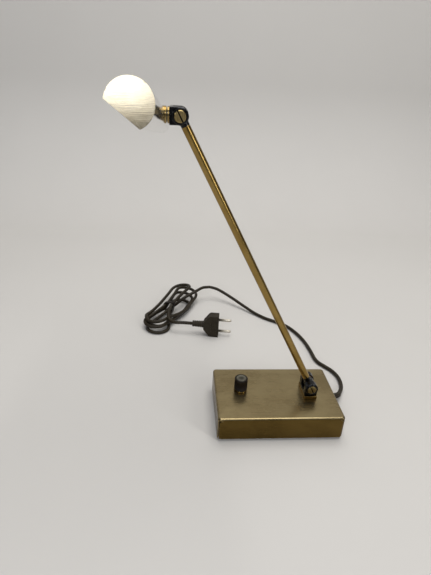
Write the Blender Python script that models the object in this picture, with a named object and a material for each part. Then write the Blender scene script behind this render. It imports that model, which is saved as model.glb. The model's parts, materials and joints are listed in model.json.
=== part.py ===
"""Architect desk lamp: a folded brass base with a dimmer knob, a slim leaning arm between two friction
joints, and a long trough shade that swivels on its neck. Metres, +Z up, standing on z = 0."""

import math

import bmesh
import bpy
from mathutils import Matrix, Vector

# Clearances
GAP = 0.0003  # between pieces that touch
RUN = 0.0001  # radial clearance of a pin that turns in its bore

# Base box
BASE_WIDTH = 0.140
BASE_DEPTH = 0.090
BASE_TOP = 0.0306
SKIRT_BOTTOM = 0.0033
SHEET = 0.0015
BEND_RADIUS = 0.0025
CORNER_RADIUS = 0.004
SEAM_WIDTH = 0.0004
SEAM_REACH = 0.012  # of the slit through a corner
PLATE_THICKNESS = 0.002
PAD_THICKNESS = 0.0037
PAD_INSET = 0.005
PAD_CORNER = 0.006
BALLAST_SIZE = (0.112, 0.078, 0.008)
BALLAST_CORNER = 0.004
BALLAST_SCREW_AT = (0.050, 0.030)
POST_INSET = 0.0095
POST_RADIUS = 0.0032
PLATE_SCREW_RADIUS = 0.0012
PLATE_SCREW_HEAD_RADIUS = 0.0027
PLATE_SCREW_HEAD = 0.0011
PLATE_SCREW_LENGTH = 0.009
BALLAST_SCREW_RADIUS = 0.0018
BALLAST_SCREW_HEAD_RADIUS = 0.0035
BALLAST_SCREW_HEAD = 0.0024
DRIVER_SIZE = (0.046, 0.056, 0.012)
DRIVER_X = 0.003

# Dimmer and knob
KNOB_X = -0.0403
KNOB_Y = 0.0050
KNOB_RADIUS = 0.0075
KNOB_TOP = 0.0471
KNOB_EDGE = 0.0007
KNOB_RECESS_RADIUS = 0.0060
KNOB_RECESS = 0.0030
KNOB_RING = 0.0010
DIMMER_SIZE = (0.026, 0.026, 0.011)
DIMMER_BUSH_RADIUS = 0.0035
DIMMER_BUSH_ABOVE = 0.0030
DIMMER_SHAFT_RADIUS = 0.0020
DIMMER_SHAFT_TOP = 0.0421
DIMMER_FLOOR = 0.0030  # under the shaft
DIMMER_NUT_RADIUS = 0.0055
DIMMER_NUT = 0.0018
DIMMER_WASHER_RADIUS = 0.0052
DIMMER_WASHER = 0.0005

# Foot under the lower joint
FOOT_X = 0.0382
FOOT_WIDTH = 0.0146
FOOT_DEPTH = 0.0270
FOOT_THICKNESS = 0.0037
NIPPLE_RADIUS = 0.0040
NIPPLE_BORE = 0.0025
NIPPLE_BELOW = 0.0008  # how far it stands out of its nut
NIPPLE_NUT_RADIUS = 0.0075
NIPPLE_NUT = 0.0030
NIPPLE_WASHER_RADIUS = 0.0080
NIPPLE_WASHER = 0.0010

# Friction joints, the same at both ends of the arm
FORK_RADIUS = 0.0071
FORK_LENGTH = 0.0090
EAR_THICKNESS = 0.0066
EYE_RADIUS = 0.0058
EYE_HALF_WIDTH = 0.0040
WASHER_THICKNESS = 0.0008
WASHER_RADIUS = 0.0056
PIVOT_RADIUS = 0.0025
PIVOT_HEAD_RADIUS = 0.0050
PIVOT_HEAD = 0.0023
PIVOT_HEAD_EDGE = 0.0005
PIVOT_SLOT = (0.0012, 0.0010)
BEVEL_RING_RADIUS = 0.0072
BEVEL_RING = 0.0014
BEVEL = 0.0007
PIVOT_NUT_RADIUS = 0.0052
PIVOT_NUT = 0.0026

# Arm
ARM_LENGTH = 0.321
ARM_LEAN = math.radians(28.3)
TUBE_RADIUS = 0.0040
TUBE_WALL = 0.0008
EYE_NECK = 0.0095
SPIGOT_LENGTH = 0.0090
WIRE_RADIUS = 0.0010
WIRE_BORE = 0.0013
WIRE_BACK = 0.0010  # of its ends, from the ends of the tube

# Neck and swivel
COLLAR_RADIUS = 0.0070
COLLAR_THICKNESS = 0.0014
NECK_WASHER_RADIUS = 0.0062
NECK_WASHER = 0.0004
NECK_SCREW_RADIUS = 0.0020
NECK_HEAD_RADIUS = 0.0036
NECK_HEAD = 0.0012
NECK_NUT_RADIUS = 0.0040
NECK_NUT = 0.0022
SHADE_ROLL = math.radians(-6.65)

# Shade
SHADE_LENGTH = 0.300
SHADE_RADIUS = 0.01353
SHADE_WALL = 0.0012
SHADE_MOUTH_DROP = 0.00666  # from the round's centre to the mouth's plane
SHADE_DROP = 0.0019  # how far the round's centre lies below the neck's axis
SHADE_LIP = 0.0024
SADDLE_THICKNESS = 0.0005  # on the neck's axis, where the saddle is thinnest
SADDLE_REACH = 0.0060  # before the shade's round is cut from it
MOUTH_TURN = math.radians(37.65)  # of the mouth, from straight down towards the outside
CAP_THICKNESS = 0.0016
CAP_SPIGOT = 0.0030
CAP_EDGE = 0.0004
DIFFUSER_THICKNESS = 0.0015
CARRIER_WIDTH = 0.0138
CARRIER_THICKNESS = 0.0015
BOARD_WIDTH = 0.0100
BOARD_THICKNESS = 0.0010

# Mains lead
CORD_RADIUS = 0.0025
CORD_STEP = 0.012
PLUG_CORD_STEP = 0.007
RELIEF_AT = (0.013, 0.012)  # y and z of the hole in the right-hand side
RELIEF_COLLAR_RADIUS = 0.0053
RELIEF_COLLAR = 0.0020
RELIEF_HOLE_RADIUS = 0.0045
RELIEF_RADIUS = 0.0041
RELIEF_TIP_RADIUS = 0.0031
RELIEF_LENGTH = 0.021
RELIEF_ROUTE = (  # from the middle of the hole
    (0.0000, 0.0000, 0.0000),
    (0.0065, 0.0012, -0.0005),
    (0.0150, 0.0065, -0.0032),
)
CORD_ROUTE = (
    (0.0915, 0.0288, 0.0060),
    (0.0965, 0.0380, 0.0042),
    (0.1000, 0.0490, 0.0030),
    (0.1008, 0.0630, 0.0027),
    (0.0970, 0.0765, 0.0027),
    (0.0900, 0.0870, 0.0027),
    (0.0835, 0.0965, 0.0027),
    (0.0808, 0.1070, 0.0027),
    (0.0797, 0.1290, 0.0027),
    (0.0766, 0.1525, 0.0027),
    (0.0697, 0.1755, 0.0027),
    (0.0590, 0.1955, 0.0027),
    (0.0440, 0.2090, 0.0027),
    (0.0285, 0.2205, 0.0028),
    (0.0140, 0.2355, 0.0034),
    (-0.0015, 0.2522, 0.0070),
    (-0.0180, 0.2688, 0.0120),
    (-0.0332, 0.2813, 0.0170),
    (-0.0466, 0.2902, 0.0210),
    (-0.0605, 0.2930, 0.0236),
    (-0.0715, 0.2885, 0.0246),
    (-0.0792, 0.2812, 0.0245),
)
HANK_CENTRE = (-0.125, 0.236)
HANK_DIRECTION = math.radians(68.0)
HANK_LENGTH = 0.150
HANK_WIDTH = 0.050
HANK_BOTTOM = 0.0016
HANK_TOP = 0.0300
TIE_WIDTH = 0.006
TIE_THICKNESS = 0.0010
PLUG_CORD_ROUTE = (
    (-0.1188, 0.1801, 0.0173),
    (-0.1130, 0.1796, 0.0175),
    (-0.1060, 0.1789, 0.0176),
    (-0.0992, 0.1781, 0.0176),
    (-0.0926, 0.17715, 0.01765),
)
PLUG_FACE = (-0.0527, 0.1716)
PLUG_TURN = math.radians(-8.0)
PLUG_WIDTH = 0.0353
PLUG_THICKNESS = 0.0137
PLUG_STRAIGHT = 0.013
PLUG_TAPER = 0.010
PLUG_NECK = 0.017
PLUG_NECK_RADIUS = 0.0052
PLUG_TIP_RADIUS = 0.0040
PLUG_NECK_ROOT = 0.0030  # inside the body
PLUG_EDGE = 0.0010
PIN_RADIUS = 0.0020
PIN_LENGTH = 0.019
PIN_SPACING = 0.019
PIN_ROOT = 0.006
PIN_EDGE = 0.0008

# Places that follow from the sizes
COVER_UNDER = BASE_TOP - SHEET
PLATE_BOTTOM = PAD_THICKNESS + GAP
PLATE_TOP = PLATE_BOTTOM + PLATE_THICKNESS
POSTS = [
    (sx * (BASE_WIDTH / 2 - POST_INSET), sy * (BASE_DEPTH / 2 - POST_INSET))
    for sx in (-1, 1)
    for sy in (-1, 1)
]
BALLAST_BOTTOM = PLATE_TOP + GAP
BALLAST_TOP = BALLAST_BOTTOM + BALLAST_SIZE[2]
FOOT_BOTTOM = BASE_TOP + GAP
FOOT_TOP = FOOT_BOTTOM + FOOT_THICKNESS
LOWER_PIVOT = Vector((FOOT_X, 0, FOOT_TOP + GAP + FORK_LENGTH))
EAR_INNER = EYE_HALF_WIDTH + GAP + WASHER_THICKNESS + GAP
EAR_OUTER = EAR_INNER + EAR_THICKNESS
SLOT_FLOOR = EYE_RADIUS + GAP
COLLAR_AT = FORK_LENGTH + GAP
NECK_WASHER_AT = COLLAR_AT + COLLAR_THICKNESS + GAP
SADDLE_AT = NECK_WASHER_AT + NECK_WASHER + GAP
SHADE_X = -(SADDLE_AT + SADDLE_THICKNESS + GAP + math.sqrt(SHADE_RADIUS**2 - SHADE_DROP**2))
SHADE_INNER = SHADE_RADIUS - SHADE_WALL
LIP_TOP = -SHADE_MOUTH_DROP + SHADE_WALL
NECK_NUT_AT = -(SHADE_X + math.sqrt(SHADE_INNER**2 - (SHADE_DROP + NECK_NUT_RADIUS) ** 2) - GAP)

TO_AXIS = {
    "X": Matrix.Rotation(math.radians(90), 4, "Y"),
    "Y": Matrix.Rotation(math.radians(-90), 4, "X"),
    "Z": Matrix.Identity(4),
}

FINISHES = {
    "brushed_brass": ((0.33, 0.25, 0.12), 0.38, 1.0),
    "polished_brass": ((0.55, 0.38, 0.13), 0.18, 1.0),
    "black_metal": ((0.02, 0.02, 0.022), 0.28, 0.6),
    "gunmetal": ((0.16, 0.17, 0.19), 0.25, 1.0),
    "black_plastic": ((0.03, 0.022, 0.016), 0.40, 0.0),
    "dark_rubber": ((0.04, 0.033, 0.022), 0.60, 0.0),
    "felt": ((0.02, 0.02, 0.02), 0.95, 0.0),
    "steel": ((0.52, 0.53, 0.54), 0.35, 1.0),
    "cast_iron": ((0.10, 0.10, 0.11), 0.65, 0.8),
    "mirror_metal": ((0.75, 0.73, 0.69), 0.08, 1.0),
    "opal": ((0.92, 0.91, 0.88), 0.45, 0.0),
    "circuit_board": ((0.85, 0.86, 0.84), 0.55, 0.0),
    "aluminium": ((0.70, 0.71, 0.72), 0.40, 1.0),
    "fibre": ((0.22, 0.12, 0.08), 0.80, 0.0),
}


def finish(name):
    """The material of that finish, made once."""
    made = bpy.data.materials.get(name)
    if made:
        return made
    colour, roughness, metallic = FINISHES[name]
    made = bpy.data.materials.new(name)
    made.use_nodes = True
    shader = made.node_tree.nodes["Principled BSDF"]
    shader.inputs["Base Color"].default_value = (*colour, 1)
    shader.inputs["Roughness"].default_value = roughness
    shader.inputs["Metallic"].default_value = metallic
    made.diffuse_color = (*colour, 1)
    return made


def place(thing, parent=None, at=(0, 0, 0), turn=(0, 0, 0)):
    """Link a new object, under its parent."""
    bpy.context.collection.objects.link(thing)
    thing.parent = parent
    thing.location = at
    thing.rotation_euler = turn
    return thing


def pivot(name, at, turn=(0, 0, 0), parent=None):
    """An empty on a joint's axis, which carries the pieces that turn about it."""
    return place(bpy.data.objects.new(name, None), parent, at, turn)


def mesh_of(name, bm):
    bmesh.ops.recalc_face_normals(bm, faces=bm.faces)
    mesh = bpy.data.meshes.new(name)
    bm.to_mesh(mesh)
    bm.free()
    return mesh


def piece(name, bm, look, parent=None, at=(0, 0, 0), turn=(0, 0, 0)):
    """A named sub-part from its mesh."""
    mesh = mesh_of(name, bm)
    mesh.shade_smooth()
    mesh.set_sharp_from_angle(angle=math.radians(32))
    mesh.materials.append(finish(look))
    return place(bpy.data.objects.new(name, mesh), parent, at, turn)


def combine(target, bm, operation, label="cut"):
    """Cut a shape from a piece, or join one to it. The shape is in the piece's own frame."""
    name = f"{label}_{target.name}"
    tool = bpy.data.objects.new(name, mesh_of(name, bm))
    place(tool, target.parent, target.location, target.rotation_euler)
    tool.hide_render = True
    tool.display_type = "WIRE"
    change = target.modifiers.new(label, "BOOLEAN")
    change.operation = operation
    change.solver = "EXACT"
    change.object = tool


def turned(section, sides=24, axis="Z", at=(0, 0, 0)):
    """A solid of revolution from its closed half-section of (radius, height) points."""
    bm = bmesh.new()
    rings = []
    for radius, height in section:
        turns = [math.tau * i / sides for i in range(sides if radius else 1)]
        rings.append([bm.verts.new((radius * math.cos(a), radius * math.sin(a), height)) for a in turns])
    for low, high in zip(rings, rings[1:] + rings[:1]):
        if len(low) == len(high) == 1:
            continue
        for i in range(sides):
            j = i + 1
            corners = (low[i % len(low)], low[j % len(low)], high[j % len(high)], high[i % len(high)])
            bm.faces.new(dict.fromkeys(corners))
    bm.transform(Matrix.Translation(at) @ TO_AXIS[axis])
    return bm


def rod(radius, low, high, edge=0.0):
    """The half-section of a solid rod with chamfered ends."""
    if not edge:
        return [(0, low), (radius, low), (radius, high), (0, high)]
    return [
        (0, low),
        (radius - edge, low),
        (radius, low + edge),
        (radius, high - edge),
        (radius - edge, high),
        (0, high),
    ]


def tube(bore, radius, low, high, edge=0.0):
    """The half-section of a ring or tube with chamfered outer edges."""
    if not edge:
        return [(bore, low), (radius, low), (radius, high), (bore, high)]
    return [
        (bore, low),
        (radius - edge, low),
        (radius, low + edge),
        (radius, high - edge),
        (radius - edge, high),
        (bore, high),
    ]


def prism(outline, low, high, axis="Z"):
    """An outline of points extruded from low to high. Along Y the outline is (x, z) as seen along +Y."""
    bm = bmesh.new()
    ends = []
    for level in (low, high):
        if axis == "Z":
            ends.append([bm.verts.new((u, v, level)) for u, v in outline])
        else:
            ends.append([bm.verts.new((u, level, v)) for u, v in outline])
    for end in ends:
        bm.faces.new(end)
    for i in range(len(outline)):
        j = (i + 1) % len(outline)
        bm.faces.new((ends[0][i], ends[0][j], ends[1][j], ends[1][i]))
    bmesh.ops.recalc_face_normals(bm, faces=bm.faces)
    return bm


def arc(radius, start, end, steps, centre=(0, 0)):
    """Points on an arc, ends included."""
    turns = [start + (end - start) * i / steps for i in range(steps + 1)]
    return [(centre[0] + radius * math.cos(a), centre[1] + radius * math.sin(a)) for a in turns]


def rounded_rectangle(width, depth, radius, steps=4, centre=(0, 0)):
    points = []
    for quarter, (sx, sy) in enumerate(((1, 1), (-1, 1), (-1, -1), (1, -1))):
        corner = (centre[0] + sx * (width / 2 - radius), centre[1] + sy * (depth / 2 - radius))
        start = quarter * math.pi / 2
        points += arc(radius, start, start + math.pi / 2, steps, corner)
    return points


def box(size, centre):
    bm = bmesh.new()
    bmesh.ops.create_cube(bm, size=1)
    bm.transform(Matrix.Translation(centre) @ Matrix.Diagonal((*size, 1)))
    return bm


def soften(bm, width, chosen, segments=2):
    """Bevel the edges that chosen picks."""
    edges = [e for e in bm.edges if chosen(e)]
    bmesh.ops.bevel(
        bm, geom=edges, offset=width, segments=segments, profile=0.5, affect="EDGES", clamp_overlap=True
    )
    return bm


def level_edge(height):
    """Picks the edges that lie at that height."""
    return lambda e: all(abs(v.co.z - height) < 1e-6 for v in e.verts)


def merged(*shapes):
    """Separate shapes in one mesh, for a cutter with several bodies."""
    whole = bmesh.new()
    for bm in shapes:
        scratch = mesh_of("scratch", bm)
        whole.from_mesh(scratch)
        bpy.data.meshes.remove(scratch)
    return whole


def bores(*holes, sides=24):
    """Round cutters, each (centre, axis, radius, length)."""
    cutters = []
    for at, axis, radius, length in holes:
        cutters.append(turned(rod(radius, -length / 2, length / 2), sides, axis, at))
    return merged(*cutters)


def hex_nut(name, bore, radius, low, high, axis="Z", parent=None, at=(0, 0, 0)):
    """A hexagonal nut, radius to its corners, with a round bore."""
    nut = piece(name, turned(rod(radius, low, high), 6, axis), "steel", parent, at)
    hole = turned(rod(bore, low - 0.002, high + 0.002), 20, axis)
    combine(nut, hole, "DIFFERENCE", "bore")


def smooth_route(points, step):
    """Points about a step apart on a smooth curve through the route's points."""
    route = [Vector(p) for p in points]
    route = [2 * route[0] - route[1], *route, 2 * route[-1] - route[-2]]
    fine = []
    for a, b, c, d in zip(route, route[1:], route[2:], route[3:]):
        for i in range(20):
            t = i / 20
            fine.append(0.5 * (2 * b + (c - a) * t + (2 * a - 5 * b + 4 * c - d) * t**2
                               + (3 * b - 3 * c + d - a) * t**3))
    fine.append(route[-2])
    lengths = [0.0]
    for p, q in zip(fine, fine[1:]):
        lengths.append(lengths[-1] + (q - p).length)
    count = max(2, round(lengths[-1] / step))
    spaced = []
    k = 0
    for i in range(count + 1):
        want = lengths[-1] * i / count
        while k < len(fine) - 2 and lengths[k + 1] < want:
            k += 1
        share = (want - lengths[k]) / (lengths[k + 1] - lengths[k])
        spaced.append(fine[k].lerp(fine[k + 1], min(1.0, share)))
    return spaced


def lead(name, points, look="dark_rubber"):
    """A cord's tube as a curve with a round bevel and filled caps."""
    curve = bpy.data.curves.new(name, "CURVE")
    curve.dimensions = "3D"
    curve.bevel_depth = CORD_RADIUS
    curve.bevel_resolution = 3
    curve.use_fill_caps = True
    curve.materials.append(finish(look))
    line = curve.splines.new("POLY")
    line.points.add(len(points) - 1)
    for knot, p in zip(line.points, points):
        knot.co = (*p, 1)
    return place(bpy.data.objects.new(name, curve))


def swept(points, radii, sides=12):
    """A round solid along a path, with its own radius at each point."""
    bm = bmesh.new()
    rings = []
    for i, (p, radius) in enumerate(zip(points, radii)):
        along = (points[min(i + 1, len(points) - 1)] - points[max(i - 1, 0)]).normalized()
        side = along.cross(Vector((0, 0, 1))).normalized()
        up = side.cross(along)
        turns = [math.tau * k / sides for k in range(sides)]
        rings.append([bm.verts.new(p + radius * (side * math.cos(a) + up * math.sin(a))) for a in turns])
    for low, high in zip(rings, rings[1:]):
        for i in range(sides):
            j = (i + 1) % sides
            bm.faces.new((low[i], low[j], high[j], high[i]))
    bm.faces.new(rings[0])
    bm.faces.new(rings[-1])
    return bm


def base_shell():
    """The folded cover, with slit corner seams and the posts that the bottom plate screws into."""
    outline = rounded_rectangle(BASE_WIDTH, BASE_DEPTH, CORNER_RADIUS)
    bm = soften(prism(outline, SKIRT_BOTTOM, BASE_TOP), BEND_RADIUS, level_edge(BASE_TOP), 3)
    cover = piece("base_cover", bm, "brushed_brass")
    inside = rounded_rectangle(BASE_WIDTH - 2 * SHEET, BASE_DEPTH - 2 * SHEET, CORNER_RADIUS - SHEET)
    hollow = prism(inside, SKIRT_BOTTOM - 0.01, COVER_UNDER)
    combine(cover, soften(hollow, BEND_RADIUS - SHEET, level_edge(COVER_UNDER), 2), "DIFFERENCE", "hollow")
    posts = [
        turned(rod(POST_RADIUS, BALLAST_BOTTOM, BASE_TOP - SHEET / 2), 12, at=(x, y, 0)) for x, y in POSTS
    ]
    combine(cover, merged(*posts), "UNION", "posts")
    seam_top = BASE_TOP - BEND_RADIUS - SHEET
    seams = []
    for x, y in POSTS:
        towards = Vector((math.copysign(1, x), math.copysign(1, y), 0)).normalized()
        centre = Vector((math.copysign(BASE_WIDTH / 2, x), math.copysign(BASE_DEPTH / 2, y), 0))
        slit = box((SEAM_REACH, SEAM_WIDTH, seam_top), (0, 0, seam_top / 2))
        turn = Matrix.Rotation(math.atan2(towards.y, towards.x), 4, "Z")
        slit.transform(Matrix.Translation(centre) @ turn)
        seams.append(slit)
    combine(cover, merged(*seams), "DIFFERENCE", "seams")
    deep = PLATE_SCREW_LENGTH + GAP
    middle = BALLAST_BOTTOM - GAP + deep / 2
    holes = [((x, y, middle), "Z", PLATE_SCREW_RADIUS + GAP, deep) for x, y in POSTS]
    holes.append(((KNOB_X, KNOB_Y, BASE_TOP), "Z", DIMMER_BUSH_RADIUS + GAP, 4 * SHEET))
    holes.append(((FOOT_X, 0, BASE_TOP), "Z", NIPPLE_RADIUS + GAP, 4 * SHEET))
    holes.append(((BASE_WIDTH / 2, *RELIEF_AT), "X", RELIEF_HOLE_RADIUS, 4 * SHEET))
    combine(cover, bores(*holes, sides=16), "DIFFERENCE", "holes")


def base_bottom():
    """Pad, bottom plate and ballast, with their screws."""
    pad = rounded_rectangle(BASE_WIDTH - 2 * PAD_INSET, BASE_DEPTH - 2 * PAD_INSET, PAD_CORNER)
    piece("base_pad", prism(pad, 0, PAD_THICKNESS), "felt")
    room = 2 * (SHEET + GAP)
    outline = rounded_rectangle(BASE_WIDTH - room, BASE_DEPTH - room, CORNER_RADIUS - SHEET)
    plate = piece("base_plate", prism(outline, PLATE_BOTTOM, PLATE_TOP), "steel")
    seat = PLATE_SCREW_HEAD + 2 * GAP
    x, y = BALLAST_SCREW_AT
    ballast_spots = [(-x, y), (x, -y)]
    heads = [((x, y, PLATE_BOTTOM), "Z", PLATE_SCREW_HEAD_RADIUS + GAP, 2 * seat) for x, y in POSTS]
    holes = [((x, y, PLATE_TOP), "Z", PLATE_SCREW_RADIUS + GAP, 0.01) for x, y in POSTS]
    holes += [((x, y, PLATE_BOTTOM), "Z", BALLAST_SCREW_RADIUS + GAP, 0.01) for x, y in ballast_spots]
    combine(plate, bores(*heads, sides=12), "DIFFERENCE", "head_recesses")
    combine(plate, bores(*holes, sides=12), "DIFFERENCE", "holes")
    for number, (x, y) in enumerate(POSTS, 1):
        low = PLATE_BOTTOM + GAP
        head = low + PLATE_SCREW_HEAD
        top = BALLAST_BOTTOM + PLATE_SCREW_LENGTH - 2 * GAP
        section = [
            (0, low),
            (PLATE_SCREW_HEAD_RADIUS, low),
            (PLATE_SCREW_HEAD_RADIUS, head),
            (PLATE_SCREW_RADIUS, head),
            (PLATE_SCREW_RADIUS, top),
            (0, top),
        ]
        piece(f"plate_screw_{number}", turned(section, 12, at=(x, y, 0)), "steel")
    width, depth, _ = BALLAST_SIZE
    slab = prism(rounded_rectangle(width, depth, BALLAST_CORNER, 2), BALLAST_BOTTOM, BALLAST_TOP)
    ballast = piece("ballast_weight", slab, "cast_iron")
    holes = [((x, y, BALLAST_TOP), "Z", BALLAST_SCREW_RADIUS + GAP, 0.03) for x, y in ballast_spots]
    combine(ballast, bores(*holes, sides=12), "DIFFERENCE", "holes")
    for number, (x, y) in enumerate(ballast_spots, 1):
        low = PLATE_BOTTOM + GAP
        head = BALLAST_TOP + GAP
        section = [
            (0, low),
            (BALLAST_SCREW_RADIUS, low),
            (BALLAST_SCREW_RADIUS, head),
            (BALLAST_SCREW_HEAD_RADIUS, head),
            (BALLAST_SCREW_HEAD_RADIUS, head + BALLAST_SCREW_HEAD),
            (0, head + BALLAST_SCREW_HEAD),
        ]
        piece(f"ballast_screw_{number}", turned(section, 12, at=(x, y, 0)), "steel")
    height = BALLAST_TOP + GAP + DRIVER_SIZE[2] / 2
    driver = box(DRIVER_SIZE, (DRIVER_X, 0, height))
    piece("led_driver", soften(driver, 0.001, lambda e: True, 1), "black_plastic")


def dimmer():
    """The rotary dimmer under the cover, its shaft, and the knob that turns it."""
    washer_top = COVER_UNDER - GAP
    body_top = washer_top - DIMMER_WASHER - GAP
    bush_top = BASE_TOP + GAP + DIMMER_BUSH_ABOVE
    shaft_bottom = body_top - DIMMER_SIZE[2] + DIMMER_FLOOR
    bm = box(DIMMER_SIZE, (0, 0, body_top - DIMMER_SIZE[2] / 2))
    body = piece("dimmer_body", soften(bm, 0.0008, lambda e: True, 1), "steel", at=(KNOB_X, KNOB_Y, 0))
    bush = turned(rod(DIMMER_BUSH_RADIUS, body_top - 0.002, bush_top), 20)
    combine(body, bush, "UNION", "bush")
    depth = bush_top + 0.002 - (shaft_bottom - GAP)
    centre = (0, 0, shaft_bottom - GAP + depth / 2)
    combine(body, bores((centre, "Z", DIMMER_SHAFT_RADIUS + RUN, depth)), "DIFFERENCE", "bore")
    ring = tube(DIMMER_BUSH_RADIUS + GAP, DIMMER_WASHER_RADIUS, washer_top - DIMMER_WASHER, washer_top)
    piece("dimmer_washer", turned(ring, 16), "steel", at=(KNOB_X, KNOB_Y, 0))
    low = BASE_TOP + GAP
    bore = DIMMER_BUSH_RADIUS + GAP
    hex_nut("dimmer_nut", bore, DIMMER_NUT_RADIUS, low, low + DIMMER_NUT, at=(KNOB_X, KNOB_Y, 0))
    knob_axis = pivot("knob_axis", (KNOB_X, KNOB_Y, BASE_TOP))
    shaft = turned(rod(DIMMER_SHAFT_RADIUS, shaft_bottom - BASE_TOP, DIMMER_SHAFT_TOP - BASE_TOP), 20)
    piece("dimmer_shaft", shaft, "steel", knob_axis)
    ring = tube(KNOB_RECESS_RADIUS, KNOB_RADIUS, 2 * GAP, 2 * GAP + KNOB_RING)
    piece("knob_ring", turned(ring, 32), "polished_brass", knob_axis)
    low = 3 * GAP + KNOB_RING
    top = KNOB_TOP - BASE_TOP
    bore = DIMMER_SHAFT_RADIUS + GAP
    bore_top = DIMMER_SHAFT_TOP - BASE_TOP + GAP
    section = [
        (KNOB_RECESS_RADIUS, low),
        (KNOB_RADIUS, low),
        (KNOB_RADIUS, top - KNOB_EDGE),
        (KNOB_RADIUS - KNOB_EDGE, top),
        (0, top),
        (0, bore_top),
        (bore, bore_top),
        (bore, low + KNOB_RECESS),
        (KNOB_RECESS_RADIUS, low + KNOB_RECESS),
    ]
    piece("dimmer_knob", turned(section, 32), "black_plastic", knob_axis)


def foot():
    """The brass foot plate, and the hollow nipple, washer and nut that hold the lower fork to the cover."""
    bm = prism(rounded_rectangle(FOOT_WIDTH, FOOT_DEPTH, 0.0006, 2), FOOT_BOTTOM, FOOT_TOP)
    soften(bm, 0.0003, level_edge(FOOT_TOP), 1)
    plate = piece("foot_plate", bm, "polished_brass", at=(FOOT_X, 0, 0))
    combine(plate, bores(((0, 0, FOOT_TOP), "Z", NIPPLE_RADIUS + GAP, 0.02)), "DIFFERENCE", "hole")
    washer_top = COVER_UNDER - GAP
    nut_top = washer_top - NIPPLE_WASHER - GAP
    low = nut_top - NIPPLE_NUT - NIPPLE_BELOW
    top = LOWER_PIVOT.z - SLOT_FLOOR - GAP
    nipple = turned(tube(NIPPLE_BORE, NIPPLE_RADIUS, low, top), 16)
    piece("foot_nipple", nipple, "steel", at=(FOOT_X, 0, 0))
    ring = tube(NIPPLE_RADIUS + GAP, NIPPLE_WASHER_RADIUS, washer_top - NIPPLE_WASHER, washer_top)
    piece("nipple_washer", turned(ring, 16), "steel", at=(FOOT_X, 0, 0))
    bore = NIPPLE_RADIUS + GAP
    hex_nut("nipple_nut", bore, NIPPLE_NUT_RADIUS, nut_top - NIPPLE_NUT, nut_top, at=(FOOT_X, 0, 0))


def fork(name, parent, turn=0.0):
    """A block with two round ears about the pivot. Its base points down, turned about Y by turn."""
    outline = [(-FORK_RADIUS, -FORK_LENGTH), (FORK_RADIUS, -FORK_LENGTH), *arc(FORK_RADIUS, 0, math.pi, 14)]
    spin = Matrix.Rotation(turn, 4, "Y")
    bm = prism(outline, -EAR_OUTER, EAR_OUTER, "Y")
    bm.transform(spin)
    block = piece(name, bm, "black_metal", parent)
    slot_height = FORK_RADIUS + SLOT_FLOOR + 0.002
    slot = box((0.03, 2 * EAR_INNER, slot_height), (0, 0, slot_height / 2 - SLOT_FLOOR))
    slot.transform(spin)
    combine(block, slot, "DIFFERENCE", "slot")
    combine(block, bores(((0, 0, 0), "Y", PIVOT_RADIUS + RUN, 0.03)), "DIFFERENCE", "pivot_bore")
    return block


def pivot_stack(prefix, parent):
    """The slotted screw across a fork, its bevelled ring, its nut, and the friction washers by the eye."""
    face = EAR_OUTER + GAP
    tip = face + PIVOT_NUT - GAP
    section = [
        (0, -face - PIVOT_HEAD),
        (PIVOT_HEAD_RADIUS - PIVOT_HEAD_EDGE, -face - PIVOT_HEAD),
        (PIVOT_HEAD_RADIUS, -face - PIVOT_HEAD + PIVOT_HEAD_EDGE),
        (PIVOT_HEAD_RADIUS, -face),
        (PIVOT_RADIUS, -face),
        (PIVOT_RADIUS, tip),
        (0, tip),
    ]
    screw = piece(f"{prefix}_pivot_screw", turned(section, 24, "Y"), "polished_brass", parent)
    width, depth = PIVOT_SLOT
    slot = box((width, 2 * depth, 0.02), (0, -face - PIVOT_HEAD, 0))
    slot.transform(Matrix.Rotation(-ARM_LEAN, 4, "Y"))
    combine(screw, slot, "DIFFERENCE", "slot")
    bore = PIVOT_HEAD_RADIUS + GAP
    ring = [
        (bore, -face),
        (BEVEL_RING_RADIUS, -face),
        (BEVEL_RING_RADIUS, -face - BEVEL_RING + BEVEL),
        (BEVEL_RING_RADIUS - BEVEL, -face - BEVEL_RING),
        (bore, -face - BEVEL_RING),
    ]
    piece(f"{prefix}_bevel_ring", turned(ring, 24, "Y"), "gunmetal", parent)
    nut = turned(tube(PIVOT_RADIUS + GAP, PIVOT_NUT_RADIUS, face, face + PIVOT_NUT, 0.0004), 16, "Y")
    piece(f"{prefix}_pivot_nut", nut, "polished_brass", parent)
    for side, sign in (("front", -1), ("rear", 1)):
        middle = sign * (EYE_HALF_WIDTH + GAP + WASHER_THICKNESS / 2)
        half = WASHER_THICKNESS / 2
        washer = turned(tube(PIVOT_RADIUS + RUN, WASHER_RADIUS, middle - half, middle + half), 16, "Y")
        piece(f"{prefix}_friction_washer_{side}", washer, "fibre", parent)


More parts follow.
